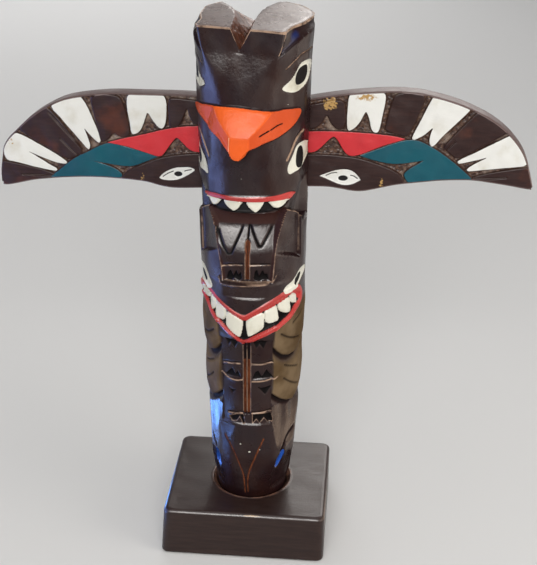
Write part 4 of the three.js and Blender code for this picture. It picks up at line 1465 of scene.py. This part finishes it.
# Pole paint: the masks of the painted shapes are laid over the dark ground in turn, from the
# washes, painted reflections, painted shade and bare wood up to the solid paints, the painted
# glint, the wear and the top's bare wood.
def paintPole():
    n = Nodes("pole_paint")
    n.fray(0.16)
    look = poleLook
    patch = n.noise(45, 4)
    cavity = n.field("cavity")
    grain = n.patches(60, 4, 0.35, 0.75, n.stretch(1, 1, 0.6))
    n.base = n.mix(grain, look["dark"], look["darkWarm"])
    # painted reflection: olive-tan feather tone, with paler patches as painted highlights
    feather = n.mix(n.patches(55, 3, 0.38, 0.68), look["feather"], look["featherSheenPale"])
    n.lay(n.times(n.field("feather"), 0.8), feather)
    # painted reflection: patchy dark blue in the ear hollows
    n.lay(n.times(n.times(n.mask("hollowReflection", 1.2), n.patches(75, 3, 0.42, 0.6)), 0.9), look["hollowReflection"])
    # painted shade: the cavity field darkens cuts, notches and recesses towards black
    n.lay(n.times(n.step(cavity, 0.15, 0.9), 0.8), look["black"])
    n.lay(n.times(n.mask("rust", 1.2), 0.6), look["rust"])
    raw = n.mix(n.patches(140, 3, 0.35, 0.7, n.stretch(5, 5, 1)), look["rawDark"], look["raw"])
    n.lay(n.mask("raw", 0.25), raw)
    orange = n.mix(n.step(patch, 0.3, 0.75), look["orange"], look["orangeDeep"])
    # painted shade on the beak's side faces
    orange = n.mix(n.times(n.mask("side", 0.4), 0.8), orange, look["shadedSideOrange"])
    # painted glint along the beak's ridge
    orange = n.mix(n.times(n.mask("ridgeGlint"), 0.8), orange, look["ridgeGlintPale"])
    n.lay(n.mask("orange"), orange)
    n.lay(n.mask("red"), n.mix(n.step(patch, 0.35, 0.8), look["red"], look["redDeep"]))
    # painted reflection: blue in the lens cuts
    n.lay(n.mask("blue"), look["blue"])
    n.lay(n.mask("white"), n.mix(n.patches(80, 4, 0.5, 0.85), look["white"], look["whiteSoiled"]))
    n.lay(n.mask("black"), look["black"])
    worn = n.times(n.mask("worn", 0.2), n.patches(160, 3, 0.3, 0.5))
    n.lay(n.times(worn, 0.85), look["worn"])
    topGrain = n.patches(350, 3, 0.3, 0.7, n.stretch(1, 1, 0.2))
    n.lay(n.step(n.field("topFace"), 0.6, 0.9), n.mix(topGrain, look["topFaceDark"], look["topFace"]))
    notch = n.mix(n.patches(260, 4, 0.35, 0.62), look["rawDark"], look["raw"])
    n.lay(n.step(n.field("notchWall"), -0.1, 0.2), notch)
    n.put("Base Color", n.base)
    dull = n.math("MAXIMUM", n.step(cavity, 0.1, 0.6), n.mask("raw", 0.3))
    for amount in (n.times(n.mask("black"), 0.7), n.field("feather"), n.times(n.mask("rust", 0.3), 0.8)):
        dull = n.math("MAXIMUM", dull, amount)
    gloss = n.blend(n.patches(120, 4, 0.3, 0.8), look["roughness"], look["roughness"] + 0.1)
    n.put("Roughness", n.blend(dull, gloss, look["dullRoughness"]))
    varnish = n.blend(n.patches(48, 2, 0.36, 0.58), look["thinShine"], look["shine"])
    shine = n.blend(n.mask("orange"), varnish, look["orangeShine"])
    n.put("Specular IOR Level", n.blend(dull, shine, look["dullShine"]))
    n.put("Normal", n.bump(n.noise(760, 3), 0.45, 0.0002))
    return n.material


wingLook = {
    "dark": colour(43, 25, 24),
    "darkWarm": colour(53, 32, 29),
    "white": colour(226, 226, 222),
    "whiteSoiled": colour(204, 200, 188),
    "red": colour(204, 52, 58),
    "redDeep": colour(182, 42, 50),
    "teal": colour(12, 84, 98),
    "tealDeep": colour(10, 68, 84),
    "black": colour(20, 16, 18),
    "groundDark": colour(52, 33, 28),
    "groundRaw": colour(118, 88, 70),
    "groundDust": colour(134, 116, 103),
    "edge": colour(98, 80, 78),
    "chip": colour(176, 140, 84),
    "redBrown": colour(92, 46, 28),
    "roughness": 0.34,
    "roughest": 0.5,
    "shine": 0.18,
}


# Wing paint: rough bare wood with dust in the cut ground, with painted shade on the side walls
# and at the foot of the raised shapes, then the board's dark paint and the painted shapes laid
# over it in turn.
def paintWing():
    n = Nodes("wing_paint")
    n.fray(0.2)
    look = wingLook
    patch = n.noise(50, 4)
    mottled = n.times(n.patches(640, 4, 0.4, 0.66), 0.6)
    ground = n.mix(mottled, look["groundDark"], look["groundRaw"])
    ground = n.mix(n.patches(90, 4, 0.5, 0.66), ground, look["groundDust"])
    # painted shade: the side walls of the raised shapes and the ground at their foot turn dark
    ground = n.mix(n.step(n.field("raised"), -0.75, -0.1), ground, look["groundDark"])
    n.base = n.mix(n.step(n.field("front"), 0.1, 0.5), look["edge"], ground)
    grain = n.patches(90, 4, 0.35, 0.75, n.stretch(1, 6, 9))
    dark = n.mix(grain, look["dark"], look["darkWarm"])
    n.lay(n.mask("dark"), n.mix(n.times(n.patches(38, 4, 0.56, 0.72), 0.7), dark, look["redBrown"]))
    n.lay(n.mask("head"), dark)
    n.lay(n.mask("slit"), ground)
    n.lay(n.mask("red"), n.mix(n.step(patch, 0.35, 0.8), look["red"], look["redDeep"]))
    n.lay(n.mask("teal"), n.mix(n.step(patch, 0.3, 0.8), look["teal"], look["tealDeep"]))
    white = n.mix(n.patches(70, 4, 0.5, 0.85), look["white"], look["whiteSoiled"])
    n.lay(n.mask("white"), white)
    n.lay(n.mask("eye"), white)
    n.lay(n.mask("pupil"), look["black"])
    n.lay(n.times(n.mask("chip", 0.5), n.patches(520, 3, 0.4, 0.52)), look["chip"])
    n.put("Base Color", n.base)
    n.put("Roughness", n.blend(n.patches(120, 4, 0.3, 0.8), look["roughness"], look["roughest"]))
    n.put("Specular IOR Level", look["shine"])
    brush = n.bump(n.noise(240, 3, n.stretch(1, 3, 3)), 0.2, 0.0005)
    n.put("Normal", n.bump(n.noise(1100, 3), 0.12, 0.0003, brush))
    return n.material


baseLook = {
    "dark": colour(38, 23, 20),
    "light": colour(49, 32, 27),
    "worn": colour(150, 124, 96),
    "rim": colour(112, 78, 62),
    "roughness": 0.3,
    "roughest": 0.4,
    "shine": 0.36,
}


# Base stain: long dark grain, rubbed through in spots along the edges and round the socket.
def paintBase():
    n = Nodes("base_paint")
    look = baseLook
    grain = n.noise(60, 5, n.stretch(1, 14, 14), 0.6)
    n.base = n.mix(n.step(grain, 0.3, 0.75), look["dark"], look["light"])
    wear = n.field("edgeWear")
    spots = n.math("ADD", n.noise(120, 5, n.stretch(1, 2, 2)), n.math("SUBTRACT", wear, 0.85))
    n.lay(n.times(wear, n.step(spots, 0.66, 0.74)), look["worn"])
    n.lay(n.times(n.field("rim"), n.patches(160, 3, 0.3, 0.6)), look["rim"])
    n.put("Base Color", n.base)
    n.put("Roughness", n.blend(n.step(grain, 0.3, 0.8), look["roughness"], look["roughest"]))
    n.put("Specular IOR Level", look["shine"])
    fine = n.bump(n.noise(220, 4, n.stretch(1, 9, 9)), 0.18, 0.0003)
    n.put("Normal", n.bump(n.noise(1300, 2), 0.12, 0.0002, fine))
    return n.material


print("painting")
wingPaint = paintWing()
for piece, paint in (
    (polePiece, paintPole()), (rightPiece, wingPaint), (leftPiece, wingPaint), (basePiece, paintBase()),
):
    piece.data.materials.append(paint)


# Angles in degrees, lengths in metres, lens and sensor in mm.
view = {
    "azimuth": 5.526,
    "distance": 0.5786,
    "height": 0.4331,
    "pitch": 25.71,
    "sideAim": -0.846,
    "roll": 0.633,
    "lens": 75.18,
    "sensor": 36,
    "nearest": 0.01,
    "farthest": 50,
}


# Camera at a bearing, distance and height from the pole's axis, looking back at it and down.
def placeCamera():
    bearing = math.radians(view["azimuth"])
    heading = bearing + math.radians(view["sideAim"])
    pitch = math.radians(view["pitch"])
    roll = math.radians(view["roll"])
    level = Vector((-math.sin(heading), math.cos(heading), 0))
    forward = level * math.cos(pitch) + Vector((0, 0, -math.sin(pitch)))
    right = Vector((math.cos(heading), math.sin(heading), 0))
    up = right.cross(forward)
    c, s = math.cos(roll), math.sin(roll)
    right, up = right * c + up * s, up * c - right * s
    data = bpy.data.cameras.new("camera")
    data.lens = view["lens"]
    data.sensor_width = view["sensor"]
    data.clip_start, data.clip_end = view["nearest"], view["farthest"]
    camera = bpy.data.objects.new("camera", data)
    away = view["distance"]
    spot = Vector((away * math.sin(bearing), -away * math.cos(bearing), view["height"]))
    camera.matrix_world = Matrix.Translation(spot) @ Matrix((right, up, -forward)).transposed().to_4x4()
    bpy.context.scene.collection.objects.link(camera)
    bpy.context.scene.camera = camera


# Lengths in metres.
studio = {
    "sky": 0.14,
    "floorTone": 0.76,
    "floorHalf": 6.0,
    "floorGap": 0.0005,
    # name, place, aim, width and height, watts, colour, what it lights
    "lights": [
        ("frontKey", (0.05, -1.5, 0.95), (0, 0, 0.16), (1.2, 0.9), 18.5, (1.0, 0.98, 0.95), "all"),
        ("overhead", (0.1, -0.1, 1.5), (0, 0, 0.16), (1.2, 1.2), 7, (1.0, 0.99, 0.98), "all"),
        ("rightFill", (1.2, -0.5, 0.5), (0, 0, 0.16), (0.8, 0.8), 6, (1.0, 0.94, 0.86), "all"),
        ("frontGleam", (-0.14, -1.0, 0.78), (0, 0, 0.19), (1.2, 0.3), 32, (1.0, 0.98, 0.95), "gloss"),
        ("lowBack", (0.0, 1.6, 0.5), (0, 0, 0.25), (2.0, 0.5), 3.9, (1.0, 0.97, 0.95), "gloss"),
        ("highBack", (0.35, 1.2, 0.92), (0, 0, 0.03), (0.9, 0.5), 10.0, (1.0, 0.96, 0.92), "gloss"),
        ("leftWindowHigh", (-0.318, -0.06, 0.183), (0, 0, 0.183), (0.22, 0.204), 1.0, (0.26, 0.4, 1.0),
         "gloss"),
        ("leftWindowLow", (-0.318, -0.06, 0.024), (0, 0, 0.024), (0.22, 0.038), 0.25, (0.26, 0.4, 1.0),
         "gloss"),
        ("footBlueLeft", (-0.115, 0.042, 0.016), (-0.019, -0.013, 0.078), (0.055, 0.036), 0.11,
         (0.13, 0.34, 1.0), "gloss"),
        ("footBlueFront", (-0.089, -0.045, 0.015), (-0.013, -0.02, 0.073), (0.03, 0.014), 0.028,
         (0.14, 0.34, 1.0), "gloss"),
        ("footWarm", (0.106, 0.018, 0.012), (0.02, -0.013, 0.073), (0.06, 0.04), 0.017, (1.0, 0.68, 0.42),
         "gloss"),
        ("backFill", (-0.5, 1.6, 0.8), (0, 0, 0.16), (1.2, 0.9), 9, (1.0, 0.99, 0.98), "soft"),
        ("rightGleam", (0.35, -0.03, 0.17), (0, 0, 0.17), (0.6, 0.32), 1.0, (1.0, 0.84, 0.7), "gloss"),
    ],
}


# Plain square floor, just under the base and with no shine.
def makeFloor():
    half, low = studio["floorHalf"], -studio["floorGap"]
    mesh = bpy.data.meshes.new("floor")
    corners = [(-half, -half, low), (half, -half, low), (half, half, low), (-half, half, low)]
    mesh.from_pydata(corners, [], [(0, 1, 2, 3)])
    floor = bpy.data.objects.new("floor", mesh)
    bpy.context.scene.collection.objects.link(floor)
    n = Nodes("floor_plain")
    tone = studio["floorTone"]
    n.put("Base Color", (tone, tone, tone, 1))
    n.put("Roughness", 0.9)
    n.put("Specular IOR Level", 0.0)
    mesh.materials.append(n.material)


# Even white light from all around.
def makeSky():
    world = bpy.data.worlds.new("studio")
    world.use_nodes = True
    sky = world.node_tree.nodes["Background"]
    sky.inputs[0].default_value = (1, 1, 1, 1)
    sky.inputs[1].default_value = studio["sky"]
    bpy.context.scene.world = world


# Rectangular light aimed at a point. One that lights gloss only adds a highlight and no light
# on the paint itself, and a soft one adds no highlight.
def makeLight(name, place, target, size, power, tint, reach):
    data = bpy.data.lights.new(name, "AREA")
    data.shape = "RECTANGLE"
    data.size, data.size_y = size
    data.energy = power
    data.color = tint
    lamp = bpy.data.objects.new(name, data)
    lamp.location = place
    lamp.visible_camera = False
    lamp.visible_diffuse = reach != "gloss"
    lamp.visible_glossy = reach != "soft"
    lamp.rotation_mode = "QUATERNION"
    lamp.rotation_quaternion = (Vector(target) - Vector(place)).to_track_quat("-Z", "Y")
    bpy.context.scene.collection.objects.link(lamp)


placeCamera()
makeFloor()
makeSky()
for light in studio["lights"]:
    makeLight(*light)
bpy.context.scene.view_settings.view_transform = "Standard"
print("studio ready")
